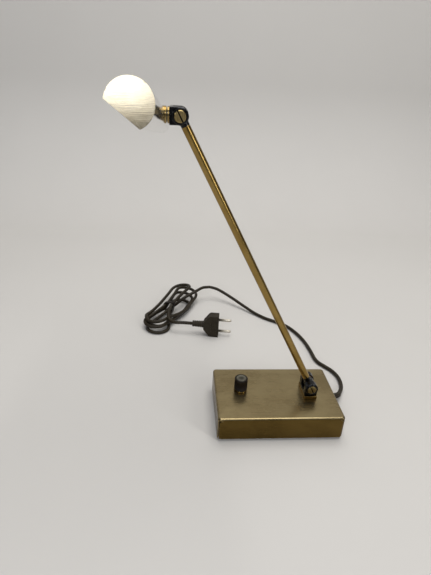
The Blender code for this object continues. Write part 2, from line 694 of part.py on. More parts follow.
def eye(name, parent, centre, sign):
    """A round eye with a neck and a hollow spigot that the arm tube slips over. sign is +1 to point up."""
    bm = turned(rod(EYE_RADIUS, -EYE_HALF_WIDTH, EYE_HALF_WIDTH, 0.0004), 24, "Y", (0, 0, centre))
    knuckle = piece(name, bm, "black_metal", parent)
    low = EYE_RADIUS * 0.5
    spigot = TUBE_RADIUS - TUBE_WALL - GAP
    section = [
        (0, low),
        (EYE_HALF_WIDTH, low),
        (EYE_HALF_WIDTH, EYE_NECK),
        (spigot, EYE_NECK),
        (spigot, EYE_NECK + SPIGOT_LENGTH),
        (0, EYE_NECK + SPIGOT_LENGTH),
    ]
    neck = turned(section, 24)
    wire = turned(rod(WIRE_BORE, EYE_NECK - 0.001, EYE_NECK + SPIGOT_LENGTH + 0.002), 12)
    for shape in (neck, wire):
        shape.transform(Matrix.Translation((0, 0, centre)) @ Matrix.Diagonal((1, 1, sign, 1)))
    combine(knuckle, neck, "UNION", "neck")
    cross = turned(rod(PIVOT_RADIUS + RUN, -0.01, 0.01), 24, "Y", (0, 0, centre))
    combine(knuckle, merged(wire, cross), "DIFFERENCE", "bores")


def arm(arm_axis):
    """The arm between the joints: an eye at each end, the tube, and the wire inside it."""
    eye("lower_eye", arm_axis, 0.0, 1)
    eye("upper_eye", arm_axis, ARM_LENGTH, -1)
    low = EYE_NECK + GAP
    section = tube(TUBE_RADIUS - TUBE_WALL, TUBE_RADIUS, low, ARM_LENGTH - low)
    piece("arm_tube", turned(section, 32), "polished_brass", arm_axis)
    low = EYE_NECK + WIRE_BACK
    piece("arm_wire", turned(rod(WIRE_RADIUS, low, ARM_LENGTH - low), 12), "dark_rubber", arm_axis)


def neck(head_axis):
    """The collar, swivel washer, screw and nut that the shade turns on, along -X from the upper fork."""
    ring = tube(NECK_SCREW_RADIUS + GAP, COLLAR_RADIUS, COLLAR_AT, COLLAR_AT + COLLAR_THICKNESS, 0.0002)
    back = Matrix.Rotation(math.pi, 4, "Z")
    collar = turned(ring, 24, "X")
    ring = tube(NECK_SCREW_RADIUS + GAP, NECK_WASHER_RADIUS, NECK_WASHER_AT, NECK_WASHER_AT + NECK_WASHER)
    washer = turned(ring, 24, "X")
    head_low = SLOT_FLOOR + GAP
    section = [
        (0, head_low),
        (NECK_HEAD_RADIUS, head_low),
        (NECK_HEAD_RADIUS, head_low + NECK_HEAD),
        (NECK_SCREW_RADIUS, head_low + NECK_HEAD),
        (NECK_SCREW_RADIUS, NECK_NUT_AT + NECK_NUT),
        (0, NECK_NUT_AT + NECK_NUT),
    ]
    screw = turned(section, 16, "X")
    for bm in (collar, washer, screw):
        bm.transform(back)
    piece("neck_collar", collar, "polished_brass", head_axis)
    piece("neck_washer", washer, "black_plastic", head_axis)
    piece("neck_screw", screw, "steel", head_axis)
    bore = NECK_SCREW_RADIUS + GAP
    hex_nut("neck_nut", bore, NECK_NUT_RADIUS, -NECK_NUT_AT - NECK_NUT, -NECK_NUT_AT, "X", head_axis)


def in_shade(points):
    """Section points (along the mouth, towards the back) in the shade's own frame of (x, z)."""
    c = math.cos(MOUTH_TURN)
    s = math.sin(MOUTH_TURN)
    return [(SHADE_X + u * c + v * s, -SHADE_DROP - u * s + v * c) for u, v in points]


def shade_arc(radius, drop, steps):
    """The round of the shade's section, from one edge of a flat that far below the centre to the other."""
    half = math.pi - math.acos(drop / radius)
    return arc(radius, math.pi / 2 - half, math.pi / 2 + half, steps)


def shade_parts(swivel_axis):
    """The trough shade, its saddle, end caps, diffuser and light strip, about the swivel's axis."""
    body_end = SHADE_LENGTH / 2 - CAP_THICKNESS - GAP
    lip = math.sqrt(SHADE_RADIUS**2 - SHADE_MOUTH_DROP**2) - SHADE_LIP
    outline = shade_arc(SHADE_RADIUS, SHADE_MOUTH_DROP, 30)
    outline += [(-lip, -SHADE_MOUTH_DROP), (-lip, LIP_TOP)]
    outline += reversed(shade_arc(SHADE_INNER, -LIP_TOP, 30))
    outline += [(lip, LIP_TOP), (lip, -SHADE_MOUTH_DROP)]
    shade = piece("shade", prism(in_shade(outline), -body_end, body_end, "Y"), "mirror_metal", swivel_axis)
    hole = ((SHADE_X + SHADE_RADIUS, 0, 0), "X", NECK_SCREW_RADIUS + RUN, 0.008)
    combine(shade, bores(hole), "DIFFERENCE", "hole")

    ring = tube(NECK_SCREW_RADIUS + RUN, COLLAR_RADIUS, SADDLE_AT, SADDLE_AT + SADDLE_REACH)
    bm = turned(ring, 32, "X")
    bm.transform(Matrix.Rotation(math.pi, 4, "Z"))
    saddle = piece("shade_saddle", bm, "polished_brass", swivel_axis)
    round_cut = turned(rod(SHADE_RADIUS + GAP, -0.02, 0.02), 96, "Y", (SHADE_X, 0, -SHADE_DROP))
    combine(saddle, round_cut, "DIFFERENCE", "round")

    for side, sign in (("front", -1), ("rear", 1)):
        ends = sorted((sign * SHADE_LENGTH / 2, sign * (SHADE_LENGTH / 2 - CAP_THICKNESS)))
        bm = prism(in_shade(shade_arc(SHADE_RADIUS, SHADE_MOUTH_DROP, 30)), *ends, "Y")
        face = sign * SHADE_LENGTH / 2
        soften(bm, CAP_EDGE, lambda e: all(abs(v.co.y - face) < 1e-6 for v in e.verts), 1)
        cap = piece(f"end_cap_{side}", bm, "brushed_brass", swivel_axis)
        plug = shade_arc(SHADE_INNER - GAP, -LIP_TOP - GAP, 30)
        ends = sorted((sign * (SHADE_LENGTH / 2 - CAP_THICKNESS / 2), sign * (body_end - CAP_SPIGOT)))
        combine(cap, prism(in_shade(plug), *ends, "Y"), "UNION", "spigot")

    end = body_end - CAP_SPIGOT - GAP
    low = LIP_TOP + GAP
    half = math.sqrt(SHADE_INNER**2 - low**2) - 2 * GAP
    top = low + DIFFUSER_THICKNESS
    sheet = [(-half, low), (half, low), (half, top), (-half, top)]
    piece("diffuser", prism(in_shade(sheet), -end, end, "Y"), "opal", swivel_axis)

    half = CARRIER_WIDTH / 2
    top = math.sqrt(SHADE_INNER**2 - half**2) - GAP
    low = top - CARRIER_THICKNESS
    bar = [(-half, low), (half, low), (half, top), (-half, top)]
    carrier = piece("led_carrier", prism(in_shade(bar), -end, end, "Y"), "aluminium", swivel_axis)
    top = low - GAP
    low = top - BOARD_THICKNESS
    half = BOARD_WIDTH / 2
    strip = [(-half, low), (half, low), (half, top), (-half, top)]
    board = piece("led_board", prism(in_shade(strip), -end, end, "Y"), "circuit_board", swivel_axis)
    for strip in (carrier, board):
        clear = bores(((SHADE_X + SHADE_INNER, 0, 0), "X", NECK_NUT_RADIUS + 3 * GAP, 0.02))
        combine(strip, clear, "DIFFERENCE", "nut_clearance")


def lead_route():
    """The lead's middle line from the hole in the base's side to the hank, in steps of a gap."""
    hole = Vector((BASE_WIDTH / 2, *RELIEF_AT))
    return smooth_route([*(hole + Vector(p) for p in RELIEF_ROUTE), *CORD_ROUTE], GAP)


def strain_relief():
    """The relief that the lead leaves through: a collar each side of the sheet and a curved taper."""
    wall = BASE_WIDTH / 2
    y, z = RELIEF_AT
    inner = wall - SHEET - GAP
    outer = wall + GAP
    steps = [
        (inner - RELIEF_COLLAR, RELIEF_COLLAR_RADIUS),
        (inner, RELIEF_COLLAR_RADIUS),
        (inner, RELIEF_HOLE_RADIUS - GAP),
        (outer, RELIEF_HOLE_RADIUS - GAP),
        (outer, RELIEF_COLLAR_RADIUS),
        (outer + RELIEF_COLLAR, RELIEF_COLLAR_RADIUS),
        (outer + RELIEF_COLLAR, RELIEF_RADIUS),
    ]
    section = [(0, steps[0][0]), *((r, x) for x, r in steps), (0, steps[-1][0])]
    gland = piece("strain_relief", turned(section, 16, "X", (0, y, z)), "dark_rubber")
    path = lead_route()[: 1 + round(RELIEF_LENGTH / GAP) : 10]
    shares = [i / (len(path) - 1) for i in range(len(path))]
    radii = [RELIEF_RADIUS + (RELIEF_TIP_RADIUS - RELIEF_RADIUS) * t for t in shares]
    combine(gland, swept(path, radii), "UNION", "taper")


def cords():
    """The lead from the relief to the hank, the hank with its tie, and the lead on to the plug."""
    after = lead_route()[1 + round(RELIEF_LENGTH / GAP) :]
    lead("cord_to_hank", smooth_route(after, CORD_STEP))
    lead("cord_to_plug", smooth_route(PLUG_CORD_ROUTE, PLUG_CORD_STEP))
    straight = (HANK_LENGTH - HANK_WIDTH) / 2
    half = HANK_WIDTH / 2
    right = arc(half, -math.pi / 2, math.pi / 2, 12, (straight, 0))
    left = arc(half, math.pi / 2, 3 * math.pi / 2, 12, (-straight, 0))
    where = {"at": (*HANK_CENTRE, 0), "turn": (0, 0, HANK_DIRECTION)}
    piece("cord_hank", prism(right + left, HANK_BOTTOM, HANK_TOP), "dark_rubber", **where)
    inner = half + GAP
    low = HANK_BOTTOM - GAP
    high = HANK_TOP + GAP
    band = box(
        (TIE_WIDTH, 2 * (inner + TIE_THICKNESS), high - low + 2 * TIE_THICKNESS), (0, 0, (low + high) / 2)
    )
    tie = piece("hank_tie", band, "black_plastic", **where)
    combine(tie, box((0.02, 2 * inner, high - low), (0, 0, (low + high) / 2)), "DIFFERENCE", "room")


def plug():
    """A flat two-pin plug that stands on its narrow edge, with its two pins."""
    half = PLUG_WIDTH / 2
    taper = PLUG_STRAIGHT + PLUG_TAPER
    outline = [
        (0, -half),
        (0, half),
        (-PLUG_STRAIGHT, half),
        (-taper, PLUG_NECK_RADIUS),
        (-taper, -PLUG_NECK_RADIUS),
        (-PLUG_STRAIGHT, -half),
    ]
    bm = prism(outline, -PLUG_THICKNESS / 2, PLUG_THICKNESS / 2, "Y")
    soften(bm, PLUG_EDGE, lambda e: True, 1)
    where = {"at": (*PLUG_FACE, half), "turn": (0, 0, PLUG_TURN)}
    body = piece("plug_body", bm, "dark_rubber", **where)
    end = taper + PLUG_NECK
    root = PLUG_NECK_ROOT - taper
    section = [
        (0, -end),
        (PLUG_TIP_RADIUS, -end),
        (PLUG_NECK_RADIUS, -taper),
        (PLUG_NECK_RADIUS, root),
        (0, root),
    ]
    combine(body, turned(section, 20, "X"), "UNION", "neck")
    deep = 2 * (PIN_ROOT + GAP)
    holes = [((0, 0, sign * PIN_SPACING / 2), "X", PIN_RADIUS + GAP, deep) for sign in (-1, 1)]
    combine(body, bores(*holes, sides=20), "DIFFERENCE", "pin_holes")
    section = rod(PIN_RADIUS, -PIN_ROOT, PIN_LENGTH, PIN_EDGE)
    for number, sign in enumerate((-1, 1), 1):
        pin = turned(section, 20, "X", (0, 0, sign * PIN_SPACING / 2))
        piece(f"plug_pin_{number}", pin, "steel", **where)


def build():
    for old in list(bpy.data.objects):
        bpy.data.objects.remove(old, do_unlink=True)
    base_shell()
    base_bottom()
    dimmer()
    foot()
    strain_relief()
    lower_axis = pivot("lower_axis", LOWER_PIVOT)
    lower_fork = fork("lower_fork", lower_axis)
    nipple_hole = ((0, 0, -FORK_LENGTH), "Z", NIPPLE_RADIUS + GAP, 2 * FORK_LENGTH - 0.002)
    combine(lower_fork, bores(nipple_hole), "DIFFERENCE", "nipple_hole")
    pivot_stack("lower", lower_axis)
    arm_axis = pivot("arm_axis", LOWER_PIVOT, (0, -ARM_LEAN, 0))
    arm(arm_axis)
    head_axis = pivot("head_axis", (0, 0, ARM_LENGTH), (0, ARM_LEAN, 0), arm_axis)
    upper_fork = fork("upper_fork", head_axis, math.radians(90))
    pivot_stack("upper", head_axis)
    neck_hole = ((-FORK_LENGTH, 0, 0), "X", NECK_SCREW_RADIUS + GAP, 0.006)
    head_recess = ((-SLOT_FLOOR, 0, 0), "X", NECK_HEAD_RADIUS + GAP, 2 * (NECK_HEAD + 2 * GAP))
    combine(upper_fork, bores(neck_hole), "DIFFERENCE", "neck_hole")
    combine(upper_fork, bores(head_recess), "DIFFERENCE", "head_recess")
    neck(head_axis)
    swivel_axis = pivot("swivel_axis", (0, 0, 0), (SHADE_ROLL, 0, 0), head_axis)
    shade_parts(swivel_axis)
    cords()
    plug()


build()
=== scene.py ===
import json
import math

import bmesh
import bpy
import numpy as np
from mathutils import Matrix, Vector


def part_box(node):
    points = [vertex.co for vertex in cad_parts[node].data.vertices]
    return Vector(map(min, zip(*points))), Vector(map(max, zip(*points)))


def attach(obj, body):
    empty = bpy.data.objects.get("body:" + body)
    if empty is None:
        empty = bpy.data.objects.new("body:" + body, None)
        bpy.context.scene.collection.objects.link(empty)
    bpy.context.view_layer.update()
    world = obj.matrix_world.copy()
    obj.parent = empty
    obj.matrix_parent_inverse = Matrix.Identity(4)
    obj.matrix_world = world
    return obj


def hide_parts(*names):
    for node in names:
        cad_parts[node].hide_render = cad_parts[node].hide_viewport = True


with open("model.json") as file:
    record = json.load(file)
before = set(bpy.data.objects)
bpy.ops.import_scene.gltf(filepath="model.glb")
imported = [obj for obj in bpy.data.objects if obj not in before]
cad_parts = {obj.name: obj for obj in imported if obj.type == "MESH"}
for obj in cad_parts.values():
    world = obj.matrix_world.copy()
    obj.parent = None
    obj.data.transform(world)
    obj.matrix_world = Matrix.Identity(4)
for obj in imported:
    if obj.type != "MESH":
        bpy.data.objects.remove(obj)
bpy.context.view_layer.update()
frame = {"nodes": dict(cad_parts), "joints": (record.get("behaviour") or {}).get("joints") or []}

# ---------------------------------------------------------------- sizes, in metres, as the CAD has them
GAP = 0.0003
COVER_LOW, COVER_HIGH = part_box("base_cover")
FOOT_LOW, FOOT_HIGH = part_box("foot_plate")
SHEET = 0.0015
BEND_RADIUS = 0.0025
CORNER_RADIUS = 0.004
SEAM_WIDTH = 0.0011
SEAM_INSET = 0.0014
FLAP_CORNER = 0.0036
POST_INSET = 0.0095
POST_RADIUS = 0.0032
POST_FOOT = 0.0065
KNOB_RADIUS = 0.0075
KNOB_RIDGES = 48
KNOB_RIDGE = 0.00032
KNOB_SOCKET_RADIUS = 0.0060
KNOB_SOCKET = 0.0030
KNOB_BORE = 0.0023
BUSH_HOLE = 0.0038
NIPPLE_HOLE = 0.0043
CORD_HOLE = 0.0045
FORK_RADIUS = 0.0071
FORK_LENGTH = 0.0090
EAR_INNER = 0.0054
EAR_OUTER = 0.0120
EYE_RADIUS = 0.0058
EYE_HALF_WIDTH = 0.0040
EYE_NECK = 0.0095
SLOT_FLOOR = EYE_RADIUS + GAP
PIVOT_RADIUS = 0.0025
SCREW_RADIUS = 0.0050
SCREW_HEAD = 0.0023
SCREW_SLOT = (0.0013, 0.0015)
RING_RADIUS = 0.0072
RING = 0.0014
NUT_RADIUS = 0.0052
NUT = 0.0026
TURNED_EDGE = 0.0008
TUBE_RADIUS = 0.0040
TUBE_WALL = 0.0008
COLLAR_RADIUS = 0.0070
COLLAR_AT = 0.0093
COLLAR = 0.0014
NECK_WASHER_RADIUS = 0.0062
NECK_WASHER_AT = 0.0110
NECK_WASHER = 0.0004
NECK_SCREW_RADIUS = 0.0020
NECK_BORE = 0.0023
COLLAR_GROOVE = (0.00024, 0.0004)
SADDLE_AT = 0.0117
SADDLE_REACH = 0.0060
SADDLE_THICKNESS = 0.0005
SHADE_ROLL = math.radians(-6.65)
SHADE_LENGTH = 0.300
SHADE_RADIUS = 0.01353
SHADE_WALL = 0.0012
SHADE_MOUTH_DROP = 0.00666
SHADE_DROP = 0.0019
SHADE_X = -(SADDLE_AT + SADDLE_THICKNESS + GAP + math.sqrt(SHADE_RADIUS**2 - SHADE_DROP**2))
SHADE_LIP = 0.0024
MOUTH_TURN = math.radians(37.65)
CAP_THICKNESS = 0.0016
CAP_SPIGOT = 0.0030
CAP_NOTCH = (0.0011, 0.0012, 0.0009)
CAP_NOTCHES = (0, math.radians(99.7), math.radians(-99.7))

# ---------------------------------------------------------------- the cord
CORD = 0.0050
RELIEF_AT = (0.013, 0.012)
RELIEF_LENGTH = 0.021
RELIEF_RADIUS = 0.0041
RELIEF_TIP_RADIUS = 0.0031
RELIEF_COLLAR_RADIUS = 0.0053
RELIEF_COLLAR = 0.0020
RELIEF_NECK = 0.0042
RELIEF_RIB = 0.00055
RELIEF_STEP = 0.0003
RELIEF_ROUTE = ((0.0000, 0.0000, 0.0000), (0.0065, 0.0012, -0.0005), (0.0150, 0.0065, -0.0032))
CORD_ROUTE = (
    (0.0915, 0.0288, 0.0060),
    (0.0965, 0.0380, 0.0042),
    (0.1000, 0.0490, 0.0030),
    (0.1008, 0.0630, 0.0027),
    (0.0970, 0.0765, 0.0027),
    (0.0900, 0.0870, 0.0027),
    (0.0835, 0.0965, 0.0027),
    (0.0808, 0.1070, 0.0027),
    (0.0797, 0.1290, 0.0027),
    (0.0766, 0.1525, 0.0027),
    (0.0697, 0.1755, 0.0027),
    (0.0590, 0.1955, 0.0027),
    (0.0440, 0.2090, 0.0027),
    (0.0285, 0.2205, 0.0028),
    (0.0140, 0.2355, 0.0034),
    (-0.0015, 0.2522, 0.0070),
    (-0.0180, 0.2688, 0.0120),
    (-0.0332, 0.2813, 0.0170),
    (-0.0466, 0.2902, 0.0210),
    (-0.0605, 0.2930, 0.0236),
    (-0.0715, 0.2885, 0.0246),
    (-0.0792, 0.2812, 0.0245),
)
PLUG_CORD_ROUTE = (
    (-0.1188, 0.1801, 0.0173),
    (-0.1130, 0.1796, 0.0175),
    (-0.1060, 0.1789, 0.0176),
    (-0.0992, 0.1781, 0.0176),
    (-0.0926, 0.17715, 0.01765),
)
HANK_CENTRE = Vector((-0.125, 0.236, 0))
HANK_DIRECTION = math.radians(68.0)
HANK_TOP = 0.0300
# Points in the hank are (along it, across it, height).
HANK_IN = ((0.050, -0.020, 0.024), (0.038, -0.011, 0.020), (0.022, -0.003, 0.015))
HANK_OUT = ((-0.020, -0.006, 0.026), (-0.036, -0.0095, 0.023), (-0.0465, -0.0175, 0.019))
# Where each run of the cord passes the middle of the hank: (across, height).
RUNS = (
    (0.004, 0.011),
    (0.002, 0.003),
    (-0.016, 0.004),
    (0.013, 0.013),
    (-0.018, 0.009),
    (0.010, 0.019),
    (-0.021, 0.013),
    (0.022, 0.017),
    (-0.004, 0.027),
)
# The fold after each run: (how far out, across, half width, height going in, height coming out, way round).
FOLDS = (
    (-0.066, 0.002, 0.016, 0.004, 0.003, 1),
    (0.046, -0.003, 0.015, 0.008, 0.005, 1),
    (-0.055, 0.008, 0.016, 0.008, 0.009, -1),
    (0.058, -0.003, 0.015, 0.018, 0.011, 1),
    (-0.063, 0.007, 0.016, 0.011, 0.013, -1),
    (0.070, -0.005, 0.016, 0.023, 0.014, 1),
    (-0.057, 0.008, 0.016, 0.018, 0.016, -1),
    (0.072, 0.008, 0.015, 0.019, 0.0274, 1),
)
KNOT_AT = (0, 0.004, 0.013)
KNOT_RADIUS = 0.0076
TIE_HALF_WIDTH = 0.003
TIE_THICKNESS = 0.0009
TIE_SIDES = 48
CORD_STEP = 0.003
CORD_BEND = 0.0165
SETTLE_ROUNDS = 320

PLUG_FACE = (-0.0527, 0.1716)
PLUG_TURN = math.radians(-8.0)
PLUG_WIDTH = 0.0353
PLUG_THICKNESS = 0.0137
PLUG_STRAIGHT = 0.013
PLUG_TAPER = 0.010
PLUG_NECK = 0.017
PLUG_NECK_RADIUS = 0.0054
PLUG_TIP_RADIUS = 0.0047
PIN_RADIUS = 0.0020
PIN_LENGTH = 0.019
PIN_SPACING = 0.019
PIN_ROOT = 0.0055

CAMERA_AT = (-0.11244, -0.39418, 0.35576)
CAMERA_AIM = (0.08224728, 0.89690131, -0.43451516)
CAMERA_ROLL = math.radians(3.05)
CAMERA_LENS = 27.05
CAMERA_SENSOR = 36.0


# ---------------------------------------------------------------- frames
def joint_at(name):
    return Vector(next(j for j in frame["joints"] if j["name"] == name)["pos_m"])


LOWER = joint_at("arm_tilt")
HEAD = joint_at("head_tilt")
ARM_LENGTH = (HEAD - LOWER).length
ARM_LEAN = math.asin((LOWER.x - HEAD.x) / ARM_LENGTH)
BASE_FRAME = Matrix.Identity(4)
KNOB_FRAME = Matrix.Translation(joint_at("dimmer_turn"))
LOWER_FRAME = Matrix.Translation(LOWER)
ARM_FRAME = LOWER_FRAME @ Matrix.Rotation(-ARM_LEAN, 4, "Y")
UPPER_EYE_FRAME = ARM_FRAME @ Matrix.Translation((0, 0, ARM_LENGTH)) @ Matrix.Rotation(math.pi, 4, "Y")
HEAD_FRAME = Matrix.Translation(HEAD)
NECK_FRAME = HEAD_FRAME @ Matrix.Rotation(-math.pi / 2, 4, "Y")
LIGHT_FRAME = HEAD_FRAME @ Matrix.Rotation(SHADE_ROLL, 4, "X")
PLUG_FRAME = Matrix.Translation((*PLUG_FACE, PLUG_WIDTH / 2)) @ Matrix.Rotation(PLUG_TURN, 4, "Z")


# ---------------------------------------------------------------- materials
class Look:
    """A material in the making: its Principled shader, and short ways to wire nodes to it."""

    def __init__(self, name, **uniform):
        self.material = bpy.data.materials.new(name)
        self.material.use_nodes = True
        self.tree = self.material.node_tree
        self.shader = self.tree.nodes["Principled BSDF"]
        self.place = self.tree.nodes.new("ShaderNodeTexCoord").outputs["Object"]
        for socket, value in uniform.items():
            self.shader.inputs[socket.replace("_", " ")].default_value = value

    def set(self, socket, value):
        if isinstance(value, bpy.types.NodeSocket):
            self.tree.links.new(value, socket)
        else:
            socket.default_value = value

    def add(self, kind, inputs, **settings):
        node = self.tree.nodes.new(kind)
        for key, value in settings.items():
            setattr(node, key, value)
        for key, value in inputs.items():
            self.set(node.inputs[key], value)
        return node

    def noise(self, size, stretch=(1, 1, 1), detail=3.0, rough=0.55):
        """Noise with grains about size metres across, longer along an axis where stretch is above 1."""
        scale = [1 / (size * s) for s in stretch]
        spread = self.add("ShaderNodeMapping", {"Vector": self.place, "Scale": scale})
        inputs = {"Vector": spread.outputs[0], "Scale": 1.0, "Detail": detail, "Roughness": rough}
        return self.add("ShaderNodeTexNoise", inputs).outputs["Fac"]

    def ramp(self, value, *stops):
        """A colour ramp of (position, colour), where a colour may be one grey number."""
        node = self.add("ShaderNodeValToRGB", {"Fac": value})
        elements = node.color_ramp.elements
        while len(elements) < len(stops):
            elements.new(0.5)
        for element, (position, colour) in zip(elements, stops):
            element.position = position
            element.color = (*colour, 1) if isinstance(colour, tuple) else (colour, colour, colour, 1)
        return node.outputs["Color"]

    def mix(self, share, a, b, blend="MIX"):
        node = self.add("ShaderNodeMix", {0: share}, data_type="RGBA", blend_type=blend)
        for socket, value in ((node.inputs[6], a), (node.inputs[7], b)):
            self.set(socket, (*value, 1) if isinstance(value, tuple) else value)
        return node.outputs[2]

    def math(self, operation, a, b):
        return self.add("ShaderNodeMath", {0: a, 1: b}, operation=operation).outputs[0]

    def edges(self, reach=0.0005):
        """White within reach of an edge, broken up a little."""
        flat = self.tree.nodes.new("ShaderNodeNewGeometry").outputs["Normal"]
        soft = self.add("ShaderNodeBevel", {"Radius": reach}, samples=4).outputs[0]
        alike = self.add("ShaderNodeVectorMath", {0: flat, 1: soft}, operation="DOT_PRODUCT")
        edge = self.ramp(alike.outputs["Value"], (0.86, 1.0), (0.985, 0.0))
        return self.math("MULTIPLY", edge, self.ramp(self.noise(0.0025), (0.3, 0.55), (0.6, 1.0)))

    def colour(self, value):
        self.set(self.shader.inputs["Base Color"], value)

    def roughness(self, value, low, high):
        node = self.add("ShaderNodeMapRange", {"Value": value, "To Min": low, "To Max": high})
        self.set(self.shader.inputs["Roughness"], node.outputs[0])

    def bump(self, *layers):
        """Relief from (height, depth in metres) layers."""
        normal = None
        for height, depth in layers:
            node = self.add("ShaderNodeBump", {"Height": height, "Distance": depth, "Strength": 1.0})
            if normal:
                self.set(node.inputs["Normal"], normal)
            normal = node.outputs[0]
        self.set(self.shader.inputs["Normal"], normal)


def brushed_metal(name, dark, light, edge_mark, brush, roughness, scratch=0.000006, patch=0.03):
    """Metal with fine brush lines, cloudy patina and its own colour along the edges: brighter wear on most,
    and on the cap a painted dark rim, painted shade.
    """
    look = Look(name, Metallic=1.0)
    lines = look.noise(0.00035, brush, 2.0)
    clouds = look.noise(patch, (1, 1, 1), 4.0, 0.6)
    body = look.mix(look.ramp(clouds, (0.35, 0.0), (0.68, 1.0)), dark, light)
    shaded = look.mix(0.22, body, look.ramp(lines, (0.3, 0.55), (0.7, 1.0)), "MULTIPLY")
    # The edge colour is brighter wear, except on cap_brass, where it is a painted dark rim: painted shade
    # for the dark surround its rounded edge reflects.
    look.colour(look.mix(look.math("MULTIPLY", look.edges(), 0.75), shaded, edge_mark))
    look.roughness(look.mix(0.4, clouds, lines), *roughness)
    look.bump((lines, scratch), (look.noise(0.012), scratch * 4))
    return look


def brushed_brass():
    """Satin brass of the cover: brushed along X, its skirt painted darker than its top, a painted shade for
    the dark surroundings that upright faces reflect.
    """
    look = Look("brushed_brass", Metallic=1.0)
    lines = look.noise(0.00035, (90, 1, 1), 2.0)
    clouds = look.noise(0.035, (1.6, 1, 1), 4.0, 0.6)
    spots = look.noise(0.0035, (1, 1, 1), 3.0)
    normal = look.tree.nodes.new("ShaderNodeNewGeometry").outputs["Normal"]
    upward = look.add("ShaderNodeSeparateXYZ", {0: normal}).outputs["Z"]
    patches = look.ramp(clouds, (0.35, 0.0), (0.68, 1.0))
    # Upright faces are painted darker than the top: painted shade standing in for the dark surroundings they
    # reflect.
    top = look.mix(patches, (0.25, 0.195, 0.100), (0.34, 0.275, 0.150))
    painted_shade_skirt = look.mix(patches, (0.085, 0.052, 0.012), (0.135, 0.086, 0.022))
    body = look.mix(look.ramp(upward, (0.25, 0.0), (0.85, 1.0)), painted_shade_skirt, top)
    shaded = look.mix(0.18, body, look.ramp(lines, (0.3, 0.6), (0.7, 1.0)), "MULTIPLY")
    spotted = look.mix(look.ramp(spots, (0.66, 0.0), (0.76, 0.35)), shaded, (0.12, 0.085, 0.03))
    edge_mark = look.math("MULTIPLY", look.edges(0.0007), 0.7)
    look.colour(look.mix(edge_mark, spotted, (0.58, 0.46, 0.24)))
    look.roughness(look.mix(0.35, clouds, lines), 0.20, 0.36)
    look.bump((lines, 0.000002), (look.noise(0.03), 0.000006))
    return look


def screw_brass():
    """Turned brass of the slotted heads, with painted shade, near black, where it is deeper than their face.
    """
    look = Look("screw_brass", Metallic=1.0)
    grain = look.noise(0.0004, (1, 1, 30), 2.0)
    depth = look.add("ShaderNodeSeparateXYZ", {0: look.place}).outputs["Y"]
    face = -EAR_OUTER - GAP - SCREW_HEAD
    limits = {"Value": depth, "From Min": face + 0.0002, "From Max": face + 0.0010}
    painted_slot_shade = look.add("ShaderNodeMapRange", limits)
    body = look.mix(grain, (0.30, 0.22, 0.09), (0.44, 0.34, 0.16))
    bright = look.mix(look.math("MULTIPLY", look.edges(0.0003), 0.7), body, (0.70, 0.58, 0.33))
    # Everything deeper than the head's face, the slot and the head's sides, is painted near black: painted
    # shade.
    look.colour(look.mix(painted_slot_shade.outputs[0], bright, (0.030, 0.022, 0.012)))
    look.roughness(grain, 0.22, 0.36)
    look.bump((grain, 0.000004))
    return look


def black_metal():
    """Glossy near-black plating, rubbed to blue-grey on its edges."""
    look = Look("black_metal", Metallic=0.85, **{"Coat_Weight": 0.12, "Coat_Roughness": 0.15})
    clouds = look.noise(0.004, (1, 1, 1), 3.0)
    body = look.mix(clouds, (0.006, 0.006, 0.007), (0.016, 0.016, 0.018))
    look.colour(look.mix(look.edges(), body, (0.060, 0.066, 0.070)))
    look.roughness(clouds, 0.18, 0.34)
    look.bump((look.noise(0.0006), 0.000006))
    return look


def moulded(name, dark, light, roughness, grain=0.0005, depth=0.00002, **uniform):
    """Moulded plastic or rubber with a fine grain and slight scuffs."""
    look = Look(name, **uniform)
    clouds = look.noise(0.008, (1, 1, 1), 4.0)
    fine = look.noise(grain, (1, 1, 1), 2.0)
    body = look.mix(look.ramp(clouds, (0.3, 0.0), (0.7, 1.0)), dark, light)
    scuffed = look.mix(look.math("MULTIPLY", look.edges(), 0.5), body, tuple(3 * c for c in light))
    look.colour(scuffed)
    look.roughness(look.mix(0.5, clouds, fine), *roughness)
    look.bump((fine, depth))
    return look


def mirror_metal():
    """Polished metal with faint smudges and a slight waviness."""
    look = Look("mirror_metal", Metallic=1.0)
    smudges = look.noise(0.012, (1, 3, 1), 5.0, 0.6)
    lines = look.noise(0.0004, (1, 120, 1), 2.0)
    body = look.mix(look.ramp(smudges, (0.3, 0.0), (0.7, 1.0)), (0.62, 0.61, 0.59), (0.74, 0.73, 0.71))
    look.colour(look.mix(look.math("MULTIPLY", look.edges(), 0.4), body, (0.90, 0.88, 0.83)))
    look.roughness(look.mix(0.3, smudges, lines), 0.04, 0.17)
    look.bump((lines, 0.000001), (look.noise(0.03), 0.00003))
    return look


def opal():
    """Milky diffuser with a fine prismatic texture."""
    look = Look("opal", IOR=1.49, **{"Subsurface_Weight": 0.3, "Subsurface_Scale": 0.003})
    clouds = look.noise(0.03)
    fine = look.noise(0.0006, (1, 30, 1), 1.0)
    look.colour(look.mix(clouds, (0.84, 0.83, 0.79), (0.91, 0.90, 0.87)))
    look.roughness(fine, 0.34, 0.52)
    look.bump((fine, 0.00003))
    return look


def circuit_board():
    """White solder mask with a row of yellow light-emitting chips."""
    look = Look("circuit_board")
    parts = look.add("ShaderNodeSeparateXYZ", {0: look.place})
    step = look.math("PINGPONG", parts.outputs["Y"], 0.004)
    chips = look.ramp(look.math("MULTIPLY", step, 250.0), (0.55, 0.0), (0.6, 1.0))
    mask = look.mix(look.noise(0.004), (0.78, 0.79, 0.77), (0.86, 0.87, 0.85))
    look.colour(look.mix(chips, mask, (0.80, 0.62, 0.10)))
    look.roughness(look.noise(0.001), 0.40, 0.65)
    look.bump((chips, 0.0002), (look.noise(0.0008), 0.00002))
    return look


